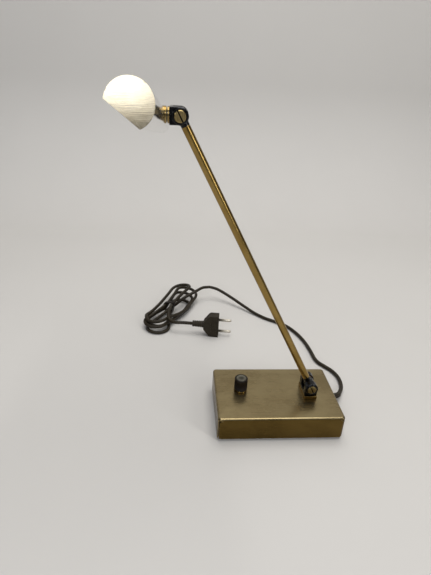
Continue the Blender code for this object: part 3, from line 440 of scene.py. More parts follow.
ALONG_X = (90, 1, 1)
ALONG_Y = (1, 90, 1)
ALONG_Z = (1, 1, 90)
EVEN = (1, 1, 1)
METALS = {
    # name: dark, light, edge colour (worn brighter; on cap_brass a painted dark rim, painted shade), brush,
    # roughness, and what differs from brushed_metal's own values
    # The cap's edge colour is painted shade: a dark rim standing in for the dark surround it reflects.
    "cap_brass": (
        (0.57, 0.485, 0.33), (0.67, 0.59, 0.44), (0.26, 0.21, 0.11), ALONG_X, (0.11, 0.18), {},
    ),
    "polished_brass": (
        (0.25, 0.16, 0.045), (0.38, 0.26, 0.085), (0.60, 0.47, 0.24), ALONG_Z, (0.20, 0.30),
        {"scratch": 0.000002},
    ),
    "gunmetal": (
        (0.012, 0.012, 0.013), (0.030, 0.031, 0.033), (0.22, 0.225, 0.23), EVEN, (0.20, 0.34),
        {"patch": 0.004},
    ),
    "steel": (
        (0.42, 0.43, 0.44), (0.58, 0.59, 0.60), (0.75, 0.75, 0.76), ALONG_X, (0.25, 0.42),
        {"patch": 0.01},
    ),
    "cast_iron": (
        (0.06, 0.06, 0.065), (0.13, 0.13, 0.135), (0.25, 0.25, 0.25), EVEN, (0.55, 0.75),
        {"scratch": 0.00006, "patch": 0.006},
    ),
    "aluminium": (
        (0.60, 0.61, 0.62), (0.74, 0.75, 0.76), (0.86, 0.86, 0.87), ALONG_Y, (0.28, 0.42), {},
    ),
    "pin_metal": (
        (0.48, 0.44, 0.36), (0.64, 0.60, 0.51), (0.72, 0.69, 0.60), ALONG_X, (0.34, 0.48),
        {"patch": 0.004},
    ),
    "knob_metal": (
        (0.045, 0.044, 0.034), (0.085, 0.082, 0.066), (0.30, 0.29, 0.24), EVEN, (0.26, 0.40),
        {"patch": 0.003},
    ),
}
MOULDINGS = {
    # name: dark, light, roughness, and what differs from moulded's own values
    "black_plastic": (
        (0.006, 0.004, 0.003), (0.015, 0.010, 0.007), (0.40, 0.55), {"Specular_IOR_Level": 0.18},
    ),
    "dark_rubber": (
        (0.013, 0.009, 0.004), (0.027, 0.020, 0.010), (0.42, 0.58), {"Specular_IOR_Level": 0.25},
    ),
    "felt": (
        (0.012, 0.012, 0.012), (0.035, 0.034, 0.032), (0.88, 0.99), {"grain": 0.0007, "depth": 0.0003},
    ),
    "fibre": ((0.14, 0.07, 0.04), (0.27, 0.15, 0.09), (0.70, 0.88), {"grain": 0.0004, "depth": 0.00005}),
}
OTHERS = {
    "brushed_brass": brushed_brass,
    "screw_brass": screw_brass,
    "black_metal": black_metal,
    "mirror_metal": mirror_metal,
    "opal": opal,
    "circuit_board": circuit_board,
}
MADE = {}


def look_of(name):
    if name not in MADE:
        if name in METALS:
            *values, changes = METALS[name]
            look = brushed_metal(name, *values, **changes)
        elif name in MOULDINGS:
            *values, changes = MOULDINGS[name]
            look = moulded(name, *values, **changes)
        else:
            look = OTHERS[name]()
        MADE[name] = look.material
    return MADE[name]


# ---------------------------------------------------------------- mesh work
def mesh_of(name, bm):
    bmesh.ops.recalc_face_normals(bm, faces=bm.faces)
    mesh = bpy.data.meshes.new(name)
    bm.to_mesh(mesh)
    bm.free()
    return mesh


def cut(thing, bm, operation="DIFFERENCE"):
    """Cut a shape from a piece, or join one to it, both in the piece's own frame."""
    tool = bpy.data.objects.new("tool", mesh_of("tool", bm))
    bpy.context.collection.objects.link(tool)
    tool.matrix_world = thing.matrix_world
    change = thing.modifiers.new("change", "BOOLEAN")
    change.operation = operation
    change.solver = "EXACT"
    change.object = tool
    bpy.context.view_layer.update()
    result = bpy.data.meshes.new_from_object(thing.evaluated_get(bpy.context.evaluated_depsgraph_get()))
    thing.modifiers.remove(change)
    thing.data = result
    bpy.data.objects.remove(tool)


def show(
    name, bm, look, body, place=BASE_FRAME, stands_for=(), edge=0.0002,
    hollows=(), joins=(), cuts=(),
):
    """A finished piece: its shape, rounded edges, material, and the body that it rides on.

    Its hollows are cut first, then what joins it is added, and its cuts go through both."""
    thing = bpy.data.objects.new(name, mesh_of(name, bm))
    bpy.context.collection.objects.link(thing)
    thing.matrix_world = place
    for other in hollows:
        cut(thing, other)
    for other in joins:
        cut(thing, other, "UNION")
    for other in cuts:
        cut(thing, other)
    thing.data.shade_smooth()
    thing.data.materials.clear()
    thing.data.materials.append(look_of(look))
    if edge:
        rounding = thing.modifiers.new("rounding", "BEVEL")
        rounding.width = edge
        rounding.segments = 3
        rounding.limit_method = "ANGLE"
        rounding.angle_limit = math.radians(32)
        rounding.harden_normals = True
        thing.modifiers.new("normals", "WEIGHTED_NORMAL").keep_sharp = True
    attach(thing, body)
    if stands_for:
        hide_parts(*stands_for)
    return thing


TO_AXIS = {
    "X": Matrix.Rotation(math.radians(90), 4, "Y"),
    "Y": Matrix.Rotation(math.radians(-90), 4, "X"),
    "Z": Matrix.Identity(4),
}


def turned(section, sides=96, axis="Z", at=(0, 0, 0), ripple=None):
    """A solid of revolution from its closed half-section of (radius, height) points."""
    bm = bmesh.new()
    rings = []
    for radius, height in section:
        ring = []
        for i in range(sides if radius else 1):
            a = math.tau * i / sides
            r = radius + (ripple(i, height) if ripple else 0)
            ring.append(bm.verts.new((r * math.cos(a), r * math.sin(a), height)))
        rings.append(ring)
    for low, high in zip(rings, rings[1:] + rings[:1]):
        if len(low) == len(high) == 1:
            continue
        for i in range(sides):
            j = i + 1
            corners = (low[i % len(low)], low[j % len(low)], high[j % len(high)], high[i % len(high)])
            bm.faces.new(dict.fromkeys(corners))
    bm.transform(Matrix.Translation(at) @ TO_AXIS[axis])
    return bm


def rod(radius, low, high):
    return [(0, low), (radius, low), (radius, high), (0, high)]


def tube(bore, radius, low, high):
    return [(bore, low), (radius, low), (radius, high), (bore, high)]


def prism(outline, low, high, axis="Z"):
    """An outline extruded from low to high. Along Y the outline is (x, z)."""
    bm = bmesh.new()
    ends = []
    for level in (low, high):
        if axis == "Z":
            ends.append([bm.verts.new((u, v, level)) for u, v in outline])
        else:
            ends.append([bm.verts.new((u, level, v)) for u, v in outline])
        bm.faces.new(ends[-1])
    for i in range(len(outline)):
        j = (i + 1) % len(outline)
        bm.faces.new((ends[0][i], ends[0][j], ends[1][j], ends[1][i]))
    bmesh.ops.recalc_face_normals(bm, faces=bm.faces)
    return bm


def arc(radius, start, end, steps, centre=(0, 0)):
    turns = [start + (end - start) * i / steps for i in range(steps + 1)]
    return [(centre[0] + radius * math.cos(a), centre[1] + radius * math.sin(a)) for a in turns]


def rounded_rectangle(width, depth, radius, steps=8):
    points = []
    for quarter, (sx, sy) in enumerate(((1, 1), (-1, 1), (-1, -1), (1, -1))):
        corner = (sx * (width / 2 - radius), sy * (depth / 2 - radius))
        start = quarter * math.pi / 2
        points += arc(radius, start, start + math.pi / 2, steps, corner)
    return points


def box(size, centre, turn=Matrix.Identity(4)):
    bm = bmesh.new()
    bmesh.ops.create_cube(bm, size=1)
    bm.transform(Matrix.Translation(centre) @ turn @ Matrix.Diagonal((*size, 1)))
    return bm


def round_top(bm, height, radius, segments):
    """Round the edges that lie at that height, as a bend in sheet does."""
    edges = [e for e in bm.edges if all(abs(v.co.z - height) < 1e-6 for v in e.verts)]
    bmesh.ops.bevel(bm, geom=edges, offset=radius, segments=segments, profile=0.5, affect="EDGES")
    return bm


# ---------------------------------------------------------------- lines
def smooth_line(points, step):
    """Evenly spaced points on a smooth curve through the given ones."""
    p = np.array([tuple(q) for q in points], float)
    p = np.vstack([2 * p[0] - p[1], p, 2 * p[-1] - p[-2]])
    t = np.linspace(0, 1, 20, endpoint=False)[:, None]
    pieces = [
        0.5 * (2 * b + (c - a) * t + (2 * a - 5 * b + 4 * c - d) * t**2 + (3 * b - 3 * c + d - a) * t**3)
        for a, b, c, d in zip(p, p[1:], p[2:], p[3:])
    ]
    fine = np.vstack([*pieces, p[-2:-1]])
    along = np.concatenate([[0], np.cumsum(np.linalg.norm(np.diff(fine, axis=0), axis=1))])
    at = np.linspace(0, along[-1], max(2, round(along[-1] / step)) + 1)
    return np.stack([np.interp(at, along, fine[:, k]) for k in range(3)], axis=1)


def length_of(line):
    return float(np.linalg.norm(np.diff(line, axis=0), axis=1).sum())


HANK_ALONG = np.array((math.cos(HANK_DIRECTION), math.sin(HANK_DIRECTION), 0))
HANK_ACROSS = np.array((-math.sin(HANK_DIRECTION), math.cos(HANK_DIRECTION), 0))


def in_hank(along, across, height):
    return np.array(HANK_CENTRE) + HANK_ALONG * along + HANK_ACROSS * across + np.array((0, 0, height))


def hank_points():
    """The cord's way through the hank: run, fold, run, fold."""
    points = [in_hank(*p) for p in HANK_IN]
    for number, run in enumerate(RUNS):
        points.append(in_hank(0, *run))
        if number == len(FOLDS):
            break
        tip, across, half, low, high, way = FOLDS[number]
        out = math.copysign(1, tip)
        for quarter in range(5):
            a = math.pi * quarter / 4
            along = tip + out * half * (math.sin(a) - 1)
            side = across + way * half * math.cos(a)
            points.append(in_hank(along, side, low + (high - low) * quarter / 4))
    return points + [in_hank(*p) for p in HANK_OUT]


def settle(home, fixed):
    """Let the cord's turns find room: no sharper bend than it takes, a diameter apart, weighed down on the
    floor and on each other, and drawn together where the tie holds them."""
    x = home.copy()
    count = len(x)
    one, two = np.triu_indices(count, 5)
    step = length_of(home) / (count - 1)
    apart = CORD * 1.03
    knot = in_hank(*KNOT_AT)
    along = (home - knot) @ HANK_ALONG
    across = (home - knot) @ HANK_ACROSS
    tied = np.where((abs(along) < 0.004) & (abs(across) < 0.012) & ~fixed)[0]
    for number in range(SETTLE_ROUNDS):
        late = number / SETTLE_ROUNDS
        x += (home - x) * 0.03 * (1 - late)
        if late < 0.8:
            x[:, 2] -= 0.00003
        for k in (1, 2, 4, 6):
            sag = (x[: -2 * k] + x[2 * k :]) / 2 - x[k:-k]
            most = (k * step) ** 2 / (2 * CORD_BEND)
            size = np.maximum(np.linalg.norm(sag, axis=1), 1e-9)
            pull = sag * (0.4 * np.clip(1 - most / size, 0, 1))[:, None]
            x[k:-k] += pull
            x[: -2 * k] -= pull / 2
            x[2 * k :] -= pull / 2
        for share in (0.5, -0.52):
            x[1:-1] += ((x[:-2] + x[2:]) / 2 - x[1:-1]) * share
        off = x[tied] - knot
        off -= (off @ HANK_ALONG)[:, None] * HANK_ALONG
        away = np.maximum(np.linalg.norm(off, axis=1), 1e-9)
        x[tied] -= off * (0.3 * np.clip(1 - KNOT_RADIUS / away, 0, 1))[:, None]
        for _ in range(2):
            apart_now = x[one] - x[two]
            near = np.where(np.abs(apart_now).max(1) < apart)[0]
            gap = apart_now[near]
            size = np.maximum(np.linalg.norm(gap, axis=1), 1e-9)
            push = gap * (np.clip(apart - size, 0, None) / 2 / size)[:, None]
            move = np.zeros_like(x)
            touches = np.zeros(count)
            for side, sign in ((one, 1), (two, -1)):
                np.add.at(move, side[near], sign * push)
                np.add.at(touches, side[near], size < apart)
            x += move / np.maximum(touches, 1)[:, None]
        for start in (0, 1):
            first = x[start:-1:2]
            second = x[start + 1 :: 2]
            span = second - first[: len(second)]
            long = np.linalg.norm(span, axis=1)[:, None]
            change = span * (1 - step / long) * 0.45
            first[: len(second)] += change
            second -= change
        x[:, 2] = np.clip(x[:, 2], CORD / 2 + 0.0001, HANK_TOP - CORD / 2)
        x[fixed] = home[fixed]
    return x


def whole_cord():
    """The cord's centreline from the hole in the base to the plug."""
    hole = Vector((COVER_HIGH.x, *RELIEF_AT))
    lead = smooth_line([*(hole + Vector(p) for p in RELIEF_ROUTE), *CORD_ROUTE], CORD_STEP)
    coil = smooth_line([*CORD_ROUTE[-3:], *hank_points(), *PLUG_CORD_ROUTE[:3]], CORD_STEP)
    fixed = np.zeros(len(coil), bool)
    held = round(length_of(np.array(CORD_ROUTE[-3:])) / CORD_STEP)
    fixed[:held] = True
    fixed[-4:] = True
    coil = settle(coil, fixed)
    start = int(np.argmin(np.linalg.norm(lead - coil[0], axis=1)))
    return np.vstack([lead[:start], coil[:-2], np.array(PLUG_CORD_ROUTE[2:])])


def swept(points, radii, sides=24):
    """A closed round solid along a line, with its own radius at each point."""
    bm = bmesh.new()
    line = [Vector(p) for p in points]
    up = Vector((0, 0, 1))
    rings = []
    for i, (p, radius) in enumerate(zip(line, radii)):
        along = (line[min(i + 1, len(line) - 1)] - line[max(i - 1, 0)]).normalized()
        side = along.cross(up).normalized()
        up = side.cross(along).normalized()
        turns = [math.tau * k / sides for k in range(sides)]
        rings.append([bm.verts.new(p + radius * (side * math.cos(a) + up * math.sin(a))) for a in turns])
    for low, high in zip(rings, rings[1:]):
        for i in range(sides):
            j = (i + 1) % sides
            bm.faces.new((low[i], low[j], high[j], high[i]))
    bm.faces.new(rings[0])
    bm.faces.new(rings[-1])
    return bm


# ---------------------------------------------------------------- pieces
def skin(rings, closed=False):
    """Faces between neighbouring rings of equally many points, and from the last to the first if closed."""
    bm = bmesh.new()
    rows = [[bm.verts.new(p) for p in ring] for ring in rings]
    for low, high in zip(rows, rows[1:] + (rows[:1] if closed else [])):
        for i in range(len(low)):
            j = (i + 1) % len(low)
            bm.faces.new((low[i], low[j], high[j], high[i]))
    return bm


def tie_outline(line):
    """The tie's inner edge, as (across, height) points: what a tight band round the cords would take."""
    knot = in_hank(*KNOT_AT)
    near = line[np.abs((line - knot) @ HANK_ALONG) < TIE_HALF_WIDTH]
    off = near - knot
    away = np.linalg.norm(off - (off @ HANK_ALONG)[:, None] * HANK_ALONG, axis=1)
    held = off[away < 0.013]
    across = held @ HANK_ACROSS
    turn = math.tau / TIE_SIDES
    reach = []
    for i in range(TIE_SIDES):
        furthest = max(across * math.cos(turn * i) + held[:, 2] * math.sin(turn * i))
        reach.append(furthest + CORD / 2 + 0.0004)
    points = []
    for i, r in enumerate(reach):
        c = math.cos(turn * i)
        s = math.sin(turn * i)
        slope = (reach[(i + 1) % TIE_SIDES] - reach[i - 1]) / (2 * turn)
        points.append((r * c - slope * s, r * s + slope * c))
    return points


def cord_and_tie():
    line = whole_cord()
    cord = show(
        "mains_cord", swept(line, [CORD / 2] * len(line), 16), "dark_rubber", "base",
        stands_for=("cord_to_hank", "cord_hank", "cord_to_plug"), edge=0,
    )
    knot = in_hank(*KNOT_AT)
    rings = []
    outline = tie_outline(line)
    low = -TIE_HALF_WIDTH
    high = TIE_HALF_WIDTH
    for along, grow in ((low, 0.0), (low, TIE_THICKNESS), (high, TIE_THICKNESS), (high, 0.0)):
        ring = []
        for across, height in outline:
            scale = 1 + grow / math.hypot(across, height)
            place = knot + HANK_ALONG * along + HANK_ACROSS * across * scale
            ring.append(place + np.array((0, 0, height * scale)))
        rings.append(ring)
    tie = show("cord_tie", skin(rings, closed=True), "black_plastic", "base", stands_for=("hank_tie",))
    return cord, line, tie


def strain_relief(line):
    """A collar on the wall and a ribbed taper along the cord."""
    wall = COVER_HIGH.x
    y, z = RELIEF_AT
    inner = wall - SHEET - GAP
    outer = wall + GAP
    section = [
        (0, inner - RELIEF_COLLAR),
        (RELIEF_COLLAR_RADIUS, inner - RELIEF_COLLAR),
        (RELIEF_COLLAR_RADIUS, inner),
        (RELIEF_NECK, inner),
        (RELIEF_NECK, outer),
        (RELIEF_COLLAR_RADIUS, outer),
        (RELIEF_COLLAR_RADIUS, outer + RELIEF_COLLAR),
        (0, outer + RELIEF_COLLAR),
    ]
    start = line[: 2 + round(RELIEF_LENGTH / CORD_STEP)]
    path = smooth_line(start, RELIEF_STEP)[: round(RELIEF_LENGTH / RELIEF_STEP)]
    radii = []
    for i in range(len(path)):
        t = i / (len(path) - 1)
        groove = max(0.0, math.sin(math.tau * t * 6.5)) ** 0.5 if 0.16 < t < 0.93 else 0.0
        radii.append(RELIEF_RADIUS + (RELIEF_TIP_RADIUS - RELIEF_RADIUS) * t - RELIEF_RIB * groove)
    show(
        "cord_relief", turned(section, 48, "X", (0, y, z)), "dark_rubber", "base",
        stands_for=("strain_relief",), joins=(swept(path, radii, 32),),
    )


def plug():
    """A flat two-pin plug with a waist, grip ribs, a ringed neck, and round-ended pins."""
    half = PLUG_WIDTH / 2
    taper = PLUG_STRAIGHT + PLUG_TAPER
    outline = [(0, -half), (0, half)]
    outline += arc(0.006, math.pi / 2, math.pi * 0.78, 6, (-PLUG_STRAIGHT + 0.002, half - 0.006))
    outline += [(-taper, PLUG_NECK_RADIUS), (-taper, -PLUG_NECK_RADIUS)]
    outline += arc(0.006, math.pi * 1.22, math.pi * 1.5, 6, (-PLUG_STRAIGHT + 0.002, 0.006 - half))
    body = prism(outline, -PLUG_THICKNESS / 2, PLUG_THICKNESS / 2, "Y")
    end = taper + PLUG_NECK
    rings = [(0, -end), (PLUG_TIP_RADIUS, -end)]
    for i in range(5):
        at = -end + 0.0025 + i * 0.0027
        radius = PLUG_TIP_RADIUS + (PLUG_NECK_RADIUS - PLUG_TIP_RADIUS) * (i + 0.5) / 6
        deep = radius - 0.0006
        rings += [(radius, at), (deep, at + 0.0003), (deep, at + 0.0010), (radius, at + 0.0013)]
    rings += [(PLUG_NECK_RADIUS, -taper), (PLUG_NECK_RADIUS, 0.003 - taper), (0, 0.003 - taper)]
    grooves = []
    for side in (-1, 1):
        for i in range(4):
            at = (-0.0035 - i * 0.0026, side * PLUG_THICKNESS / 2, 0)
            grooves.append(box((0.0010, 0.0012, 0.60 * PLUG_WIDTH), at))
    places = [(0, 0, sign * PIN_SPACING / 2) for sign in (-1, 1)]
    holes = [turned(rod(PIN_RADIUS + 0.0001, -0.006, 0.001), 32, "X", at) for at in places]
    whole = show(
        "plug", body, "dark_rubber", "base", PLUG_FRAME, ("plug_body",), edge=0.0008,
        joins=(turned(rings, 48, "X"),), cuts=(*grooves, *holes),
    )
    tip = [(x, PIN_LENGTH - PIN_RADIUS + z) for x, z in arc(PIN_RADIUS, 0, math.pi / 2, 8)]
    tip[-1] = (0, PIN_LENGTH)
    parts = [whole]
    for number, at in enumerate(places, 1):
        pin = turned([(0, -PIN_ROOT), (PIN_RADIUS, -PIN_ROOT), *tip], 32, "X", at)
        node = f"plug_pin_{number}"
        parts.append(show(f"pin_{number}", pin, "pin_metal", "base", PLUG_FRAME, (node,), 0))
    return parts


def base_cover():
    """The folded cover, with bends, slit corners, posts and holes."""
    size = COVER_HIGH - COVER_LOW
    top = COVER_HIGH.z
    outline = rounded_rectangle(size.x, size.y, CORNER_RADIUS)
    shell = round_top(prism(outline, COVER_LOW.z, top), top, BEND_RADIUS, 8)
    inside = rounded_rectangle(size.x - 2 * SHEET, size.y - 2 * SHEET, CORNER_RADIUS - SHEET)
    hollow = round_top(prism(inside, COVER_LOW.z - 0.01, top - SHEET), top - SHEET, BEND_RADIUS - SHEET, 4)
    knob_at = joint_at("dimmer_turn")
    cuts = []
    posts = []
    lap = 0.0004
    seam_top = top - BEND_RADIUS - lap
    edge = SEAM_WIDTH / 2
    bend = (edge + FLAP_CORNER, seam_top - FLAP_CORNER)
    opening = [(-edge, -0.001), (edge, -0.001)]
    opening += arc(FLAP_CORNER, math.pi, math.pi / 2, 10, bend)
    opening += [(bend[0], seam_top + lap), (-edge, seam_top + lap)]
    seam = size.x / 2 - SEAM_INSET
    for sx in (-1, 1):
        for sy in (-1, 1):
            post = (sx * (size.x / 2 - POST_INSET), sy * (size.y / 2 - POST_INSET), 0)
            posts.append(turned(rod(POST_RADIUS, POST_FOOT, top - SHEET / 2), 24, at=post))
            wall = sorted((sy * (size.y / 2 + 0.001), sy * (size.y / 2 - 0.0035)))
            cuts.append(prism([(sx * (seam - u), z) for u, z in opening], *wall, "Y"))
    cuts.append(turned(rod(BUSH_HOLE, -0.003, 0.003), 48, at=(knob_at.x, knob_at.y, top)))
    cuts.append(turned(rod(NIPPLE_HOLE, -0.003, 0.003), 48, at=(LOWER.x, 0, top)))
    cuts.append(turned(rod(CORD_HOLE, -0.003, 0.003), 48, "X", (COVER_HIGH.x, *RELIEF_AT)))
    show(
        "cover", shell, "brushed_brass", "base", stands_for=("base_cover",), edge=0.00025, hollows=(hollow,),
        joins=posts, cuts=cuts,
    )


def knob():
    """Straight-knurled knob with a turned metal face in its top, and the brass ring under it."""
    low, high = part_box("dimmer_knob")
    bottom = low.z - KNOB_FRAME.translation.z
    top = high.z - KNOB_FRAME.translation.z
    sides = KNOB_RIDGES * 4
    band = (bottom + 0.0012, top - 0.0016)

    def ridges(i, height):
        if not band[0] <= height <= band[1]:
            return 0.0
        return -KNOB_RIDGE * (0.0, 0.6875, 1.0, 0.6875)[i % 4]

    wall = KNOB_RADIUS
    section = [
        (wall - 0.0004, bottom),
        (wall, bottom + 0.0004),
        (wall, band[0] - 0.0001),
        (wall, band[0]),
        (wall, band[1]),
        (wall, band[1] + 0.0001),
        (wall, top - 0.0006),
        (wall - 0.0006, top),
        (wall - 0.0012, top),
        (wall - 0.0014, top - 0.0004),
        (KNOB_BORE, top - 0.0004),
        (KNOB_BORE, bottom + KNOB_SOCKET),
        (KNOB_SOCKET_RADIUS, bottom + KNOB_SOCKET),
        (KNOB_SOCKET_RADIUS, bottom),
    ]
    ribbed = turned(section, sides, ripple=ridges)
    show("knob", ribbed, "black_plastic", "knob", KNOB_FRAME, ("dimmer_knob",), edge=0)
    face = wall - 0.0015
    dish = [
        (0, top - 0.00035),
        (face, top - 0.00035),
        (face, top - 0.0001),
        (face - 0.0003, top),
        (face - 0.0010, top - 0.0002),
        (0, top - 0.0002),
    ]
    show("knob_face", turned(dish), "knob_metal", "knob", KNOB_FRAME, edge=0)
    levels = [corner.z - KNOB_FRAME.translation.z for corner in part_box("knob_ring")]
    ring = turned(tube(KNOB_SOCKET_RADIUS, KNOB_RADIUS, *levels), 128)
    show("knob_foot", ring, "polished_brass", "knob", KNOB_FRAME, ("knob_ring",))


def foot():
    size = FOOT_HIGH - FOOT_LOW
    plate = prism(rounded_rectangle(size.x, size.y, 0.0006, 3), FOOT_LOW.z, FOOT_HIGH.z)
    hole = turned(rod(NIPPLE_HOLE, -0.002, 0.002 + size.z), 48, at=(0, 0, FOOT_LOW.z))
    place = Matrix.Translation(((FOOT_LOW.x + FOOT_HIGH.x) / 2, 0, 0))
    show("foot", plate, "polished_brass", "base", place, ("foot_plate",), edge=0.0003, cuts=(hole,))


def fork(name, node, body, place):
    """A block with two round ears. Its base points down its own Z."""
    outline = [(-FORK_RADIUS, -FORK_LENGTH), (FORK_RADIUS, -FORK_LENGTH), *arc(FORK_RADIUS, 0, math.pi, 48)]
    height = FORK_RADIUS + SLOT_FLOOR + 0.002
    slot = box((0.03, 2 * EAR_INNER, height), (0, 0, height / 2 - SLOT_FLOOR))
    bore = turned(rod(PIVOT_RADIUS + 0.0001, -0.015, 0.015), 48, "Y")
    down = turned(rod(NECK_SCREW_RADIUS + GAP, -0.013, 0), 32)
    block = prism(outline, -EAR_OUTER, EAR_OUTER, "Y")
    show(name, block, "black_metal", body, place, (node,), edge=0.0004, cuts=(slot, bore, down))


def eye(name, node, place):
    """A round eye with the neck that the tube slips over, pointing up its own Z."""
    ring = turned(rod(EYE_RADIUS, -EYE_HALF_WIDTH, EYE_HALF_WIDTH), 64, "Y")
    spigot = TUBE_RADIUS - TUBE_WALL - GAP
    section = [
        (0, EYE_RADIUS / 2),
        (EYE_HALF_WIDTH, EYE_RADIUS / 2),
        (EYE_HALF_WIDTH, EYE_NECK),
        (spigot, EYE_NECK),
        (spigot, EYE_NECK + 0.009),
        (0, EYE_NECK + 0.009),
    ]
    bore = turned(rod(PIVOT_RADIUS + 0.0001, -0.01, 0.01), 48, "Y")
    wire = turned(rod(0.0013, EYE_NECK - 0.001, EYE_NECK + 0.011), 24)
    stem = turned(section, 64)
    show(name, ring, "black_metal", "arm", place, (node,), edge=0.0003, joins=(stem,), cuts=(bore, wire))


def pivot(prefix, body, place):
    """The slotted screw across a fork, its bevelled ring and its nut."""
    face = EAR_OUTER + GAP
    head = [
        (0, -face - SCREW_HEAD),
        (SCREW_RADIUS - 0.0006, -face - SCREW_HEAD),
        (SCREW_RADIUS, -face - SCREW_HEAD + 0.0006),
        (SCREW_RADIUS, -face),
        (PIVOT_RADIUS, -face),
        (PIVOT_RADIUS, face + NUT - GAP),
        (0, face + NUT - GAP),
    ]
    width, depth = SCREW_SLOT
    slot = box((width, 2 * depth, 0.02), (0, -face - SCREW_HEAD, 0), Matrix.Rotation(-ARM_LEAN, 4, "Y"))
    show(
        f"{prefix}_screw", turned(head, 96, "Y"), "screw_brass", body, place, (f"{prefix}_pivot_screw",),
        0.00012, cuts=(slot,),
    )
    bore = SCREW_RADIUS + GAP
    ring = [
        (bore, -face),
        (RING_RADIUS, -face),
        (RING_RADIUS, -face - RING + TURNED_EDGE),
        (RING_RADIUS - TURNED_EDGE, -face - RING),
        (bore + 0.0003, -face - RING),
        (bore, -face - RING + 0.0003),
    ]
    node = f"{prefix}_bevel_ring"
    show(f"{prefix}_ring", turned(ring, 96, "Y"), "gunmetal", body, place, (node,), edge=0.0001)
    nut = [
        (PIVOT_RADIUS + GAP, face),
        (NUT_RADIUS, face),
        (NUT_RADIUS, face + NUT - TURNED_EDGE),
        (NUT_RADIUS - TURNED_EDGE, face + NUT),
        (PIVOT_RADIUS + GAP, face + NUT),
    ]
    node = f"{prefix}_pivot_nut"
    show(f"{prefix}_nut", turned(nut, 96, "Y"), "polished_brass", body, place, (node,), edge=0.00015)


def arm():
    low = EYE_NECK + GAP
    section = tube(TUBE_RADIUS - TUBE_WALL, TUBE_RADIUS, low, ARM_LENGTH - low)
    show("arm", turned(section, 96), "polished_brass", "arm", ARM_FRAME, ("arm_tube",), edge=0.0002)


def neck():
    """Stepped collar, washer, and the saddle that takes the shade's round."""
    middle = COLLAR_AT + COLLAR / 2
    width, depth = COLLAR_GROOVE
    section = [
        (NECK_BORE, COLLAR_AT),
        (COLLAR_RADIUS, COLLAR_AT),
        (COLLAR_RADIUS, middle - width / 2),
        (COLLAR_RADIUS - depth, middle - width / 2),
        (COLLAR_RADIUS - depth, middle + width / 2),
        (COLLAR_RADIUS, middle + width / 2),
        (COLLAR_RADIUS, COLLAR_AT + COLLAR),
        (NECK_BORE, COLLAR_AT + COLLAR),
    ]
    show("collar", turned(section), "polished_brass", "head", NECK_FRAME, ("neck_collar",), edge=0.00008)
    ring = tube(NECK_BORE, NECK_WASHER_RADIUS, NECK_WASHER_AT, NECK_WASHER_AT + NECK_WASHER)
    show("washer", turned(ring), "black_plastic", "head", NECK_FRAME, ("neck_washer",), edge=0.00005)
    ring = tube(NECK_SCREW_RADIUS + 0.0001, COLLAR_RADIUS, SADDLE_AT, SADDLE_AT + SADDLE_REACH)
    bm = turned(ring)
    bm.transform(Matrix.Rotation(-math.pi / 2, 4, "Y"))
    seat = turned(rod(SHADE_RADIUS + GAP / 2, -0.02, 0.02), 256, "Y", (SHADE_X, 0, -SHADE_DROP))
    show("saddle", bm, "polished_brass", "light", LIGHT_FRAME, ("shade_saddle",), edge=0.00008, cuts=(seat,))


def in_shade(points):
    """Section points (along the mouth, towards the back) in the shade's own frame of (x, z)."""
    c = math.cos(MOUTH_TURN)
    s = math.sin(MOUTH_TURN)
    return [(SHADE_X + u * c + v * s, -SHADE_DROP - u * s + v * c) for u, v in points]


def shade_arc(radius, drop, steps=96):
    half = math.pi - math.acos(drop / radius)
    return arc(radius, math.pi / 2 - half, math.pi / 2 + half, steps)


def shade():
    """The trough and its end caps."""
    body_end = SHADE_LENGTH / 2 - CAP_THICKNESS - GAP / 2
    inner = SHADE_RADIUS - SHADE_WALL
    lip_top = SHADE_WALL - SHADE_MOUTH_DROP
    lip = math.sqrt(SHADE_RADIUS**2 - SHADE_MOUTH_DROP**2) - SHADE_LIP
    outline = shade_arc(SHADE_RADIUS, SHADE_MOUTH_DROP)
    outline += [(-lip, -SHADE_MOUTH_DROP), (-lip, lip_top)]
    outline += reversed(shade_arc(inner, -lip_top))
    outline += [(lip, lip_top), (lip, -SHADE_MOUTH_DROP)]
    hole = turned(rod(NECK_SCREW_RADIUS + 0.0001, -0.004, 0.004), 48, "X", (SHADE_X + SHADE_RADIUS, 0, 0))
    trough = prism(in_shade(outline), -body_end, body_end, "Y")
    show("shade_body", trough, "mirror_metal", "light", LIGHT_FRAME, ("shade",), edge=0.00025, cuts=(hole,))
    rim = SHADE_RADIUS + 0.0001
    for side, sign in (("front", -1), ("rear", 1)):
        face = sign * SHADE_LENGTH / 2
        ends = sorted((face, face - sign * CAP_THICKNESS))
        disc = prism(in_shade(shade_arc(SHADE_RADIUS, SHADE_MOUTH_DROP)), *ends, "Y")
        ends = sorted((face - sign * CAP_THICKNESS / 2, sign * (body_end - CAP_SPIGOT)))
        spigot = prism(in_shade(shade_arc(inner - GAP, -lip_top - GAP)), *ends, "Y")
        notches = []
        for turn in CAP_NOTCHES:
            ((x, z),) = in_shade([(rim * math.sin(turn), rim * math.cos(turn))])
            notches.append(box(CAP_NOTCH, (x, face, z), Matrix.Rotation(turn + MOUTH_TURN, 4, "Y")))
        show(
            f"cap_{side}", disc, "cap_brass", "light", LIGHT_FRAME, (f"end_cap_{side}",),
            0.0003, joins=(spigot,), cuts=notches,
        )


def carry_over():
    """Give each CAD node that still shows the procedural material of its slot."""
    for thing in frame["nodes"].values():
        if not thing.hide_render:
            slot = thing.material_slots[0]
            slot.material = look_of(slot.material.name.split(".")[0])


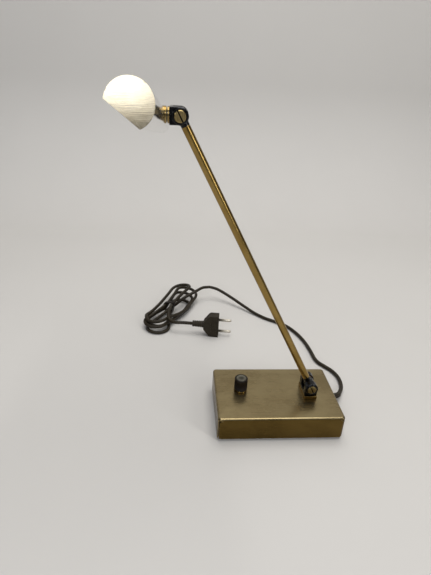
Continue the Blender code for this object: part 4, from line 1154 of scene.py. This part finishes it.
def backdrop():
    """Pale floor that sweeps up into a wall."""
    depth = 1.0
    bend = 0.35
    profile = [(-3.0, 0.0), (depth - bend, 0.0)]
    profile += arc(bend, -math.pi / 2, 0, 24, (depth - bend, bend))[1:]
    profile += [(depth, 3.0)]
    bm = bmesh.new()
    rows = [[bm.verts.new((x, y, z)) for x in (-3.5, 3.5)] for y, z in profile]
    for low, high in zip(rows, rows[1:]):
        bm.faces.new((low[0], low[1], high[1], high[0]))
    floor = bpy.data.objects.new("floor", mesh_of("floor", bm))
    bpy.context.collection.objects.link(floor)
    floor.data.shade_smooth()
    look = Look("floor", Roughness=0.7)
    look.colour(look.mix(look.noise(0.4), (0.60, 0.585, 0.56), (0.64, 0.625, 0.60)))
    floor.data.materials.append(look.material)


def lights():
    """Three soft boxes and a dim sky."""
    cool = (0.90, 0.93, 1.0)
    warm = (1.0, 0.98, 0.95)
    boxes = (
        # name, place, aimed at, width, height, watts, colour
        ("left", (-0.64, -1.62, 1.11), (-0.14, -0.15, 0.34), 1.0, 1.0, 12.0, cool),
        ("right", (1.25, -1.15, 0.95), (0, 0, 0.2), 0.30, 1.3, 9.0, warm),
        ("ceiling", (0.1, 0.2, 2.1), (0, 0.2, 0), 1.8, 1.4, 32, warm),
    )
    for name, at, aim, width, height, watts, colour in boxes:
        light = bpy.data.lights.new(name, "AREA")
        light.shape = "RECTANGLE"
        light.size = width
        light.size_y = height
        light.energy = watts
        light.color = colour
        lamp = bpy.data.objects.new(name, light)
        bpy.context.collection.objects.link(lamp)
        lamp.location = at
        lamp.rotation_euler = (Vector(aim) - Vector(at)).to_track_quat("-Z", "Y").to_euler()
    world = bpy.data.worlds.new("studio")
    world.use_nodes = True
    sky = world.node_tree.nodes["Background"].inputs
    sky["Color"].default_value = (0.80, 0.82, 0.86, 1)
    sky["Strength"].default_value = 0.14
    bpy.context.scene.world = world
    bpy.context.scene.view_settings.view_transform = "Standard"


def camera():
    eye_point = bpy.data.objects.new("camera", bpy.data.cameras.new("camera"))
    bpy.context.collection.objects.link(eye_point)
    eye_point.data.sensor_width = CAMERA_SENSOR
    eye_point.data.lens = CAMERA_LENS
    eye_point.data.clip_start = 0.01
    aim = Vector(CAMERA_AIM).to_track_quat("-Z", "Y").to_matrix().to_4x4()
    eye_point.matrix_world = Matrix.Translation(CAMERA_AT) @ aim @ Matrix.Rotation(CAMERA_ROLL, 4, "Z")
    bpy.context.scene.camera = eye_point


def main():
    cord, line, tie = cord_and_tie()
    strain_relief(line)
    plug_parts = plug()
    base_cover()
    knob()
    foot()
    fork("fork_lower", "lower_fork", "base", LOWER_FRAME)
    fork("fork_upper", "upper_fork", "head", HEAD_FRAME @ Matrix.Rotation(math.pi / 2, 4, "Y"))
    eye("eye_lower", "lower_eye", ARM_FRAME)
    eye("eye_upper", "upper_eye", UPPER_EYE_FRAME)
    pivot("lower", "base", LOWER_FRAME)
    pivot("upper", "head", HEAD_FRAME)
    arm()
    neck()
    shade()
    carry_over()
    backdrop()
    lights()
    camera()


main()
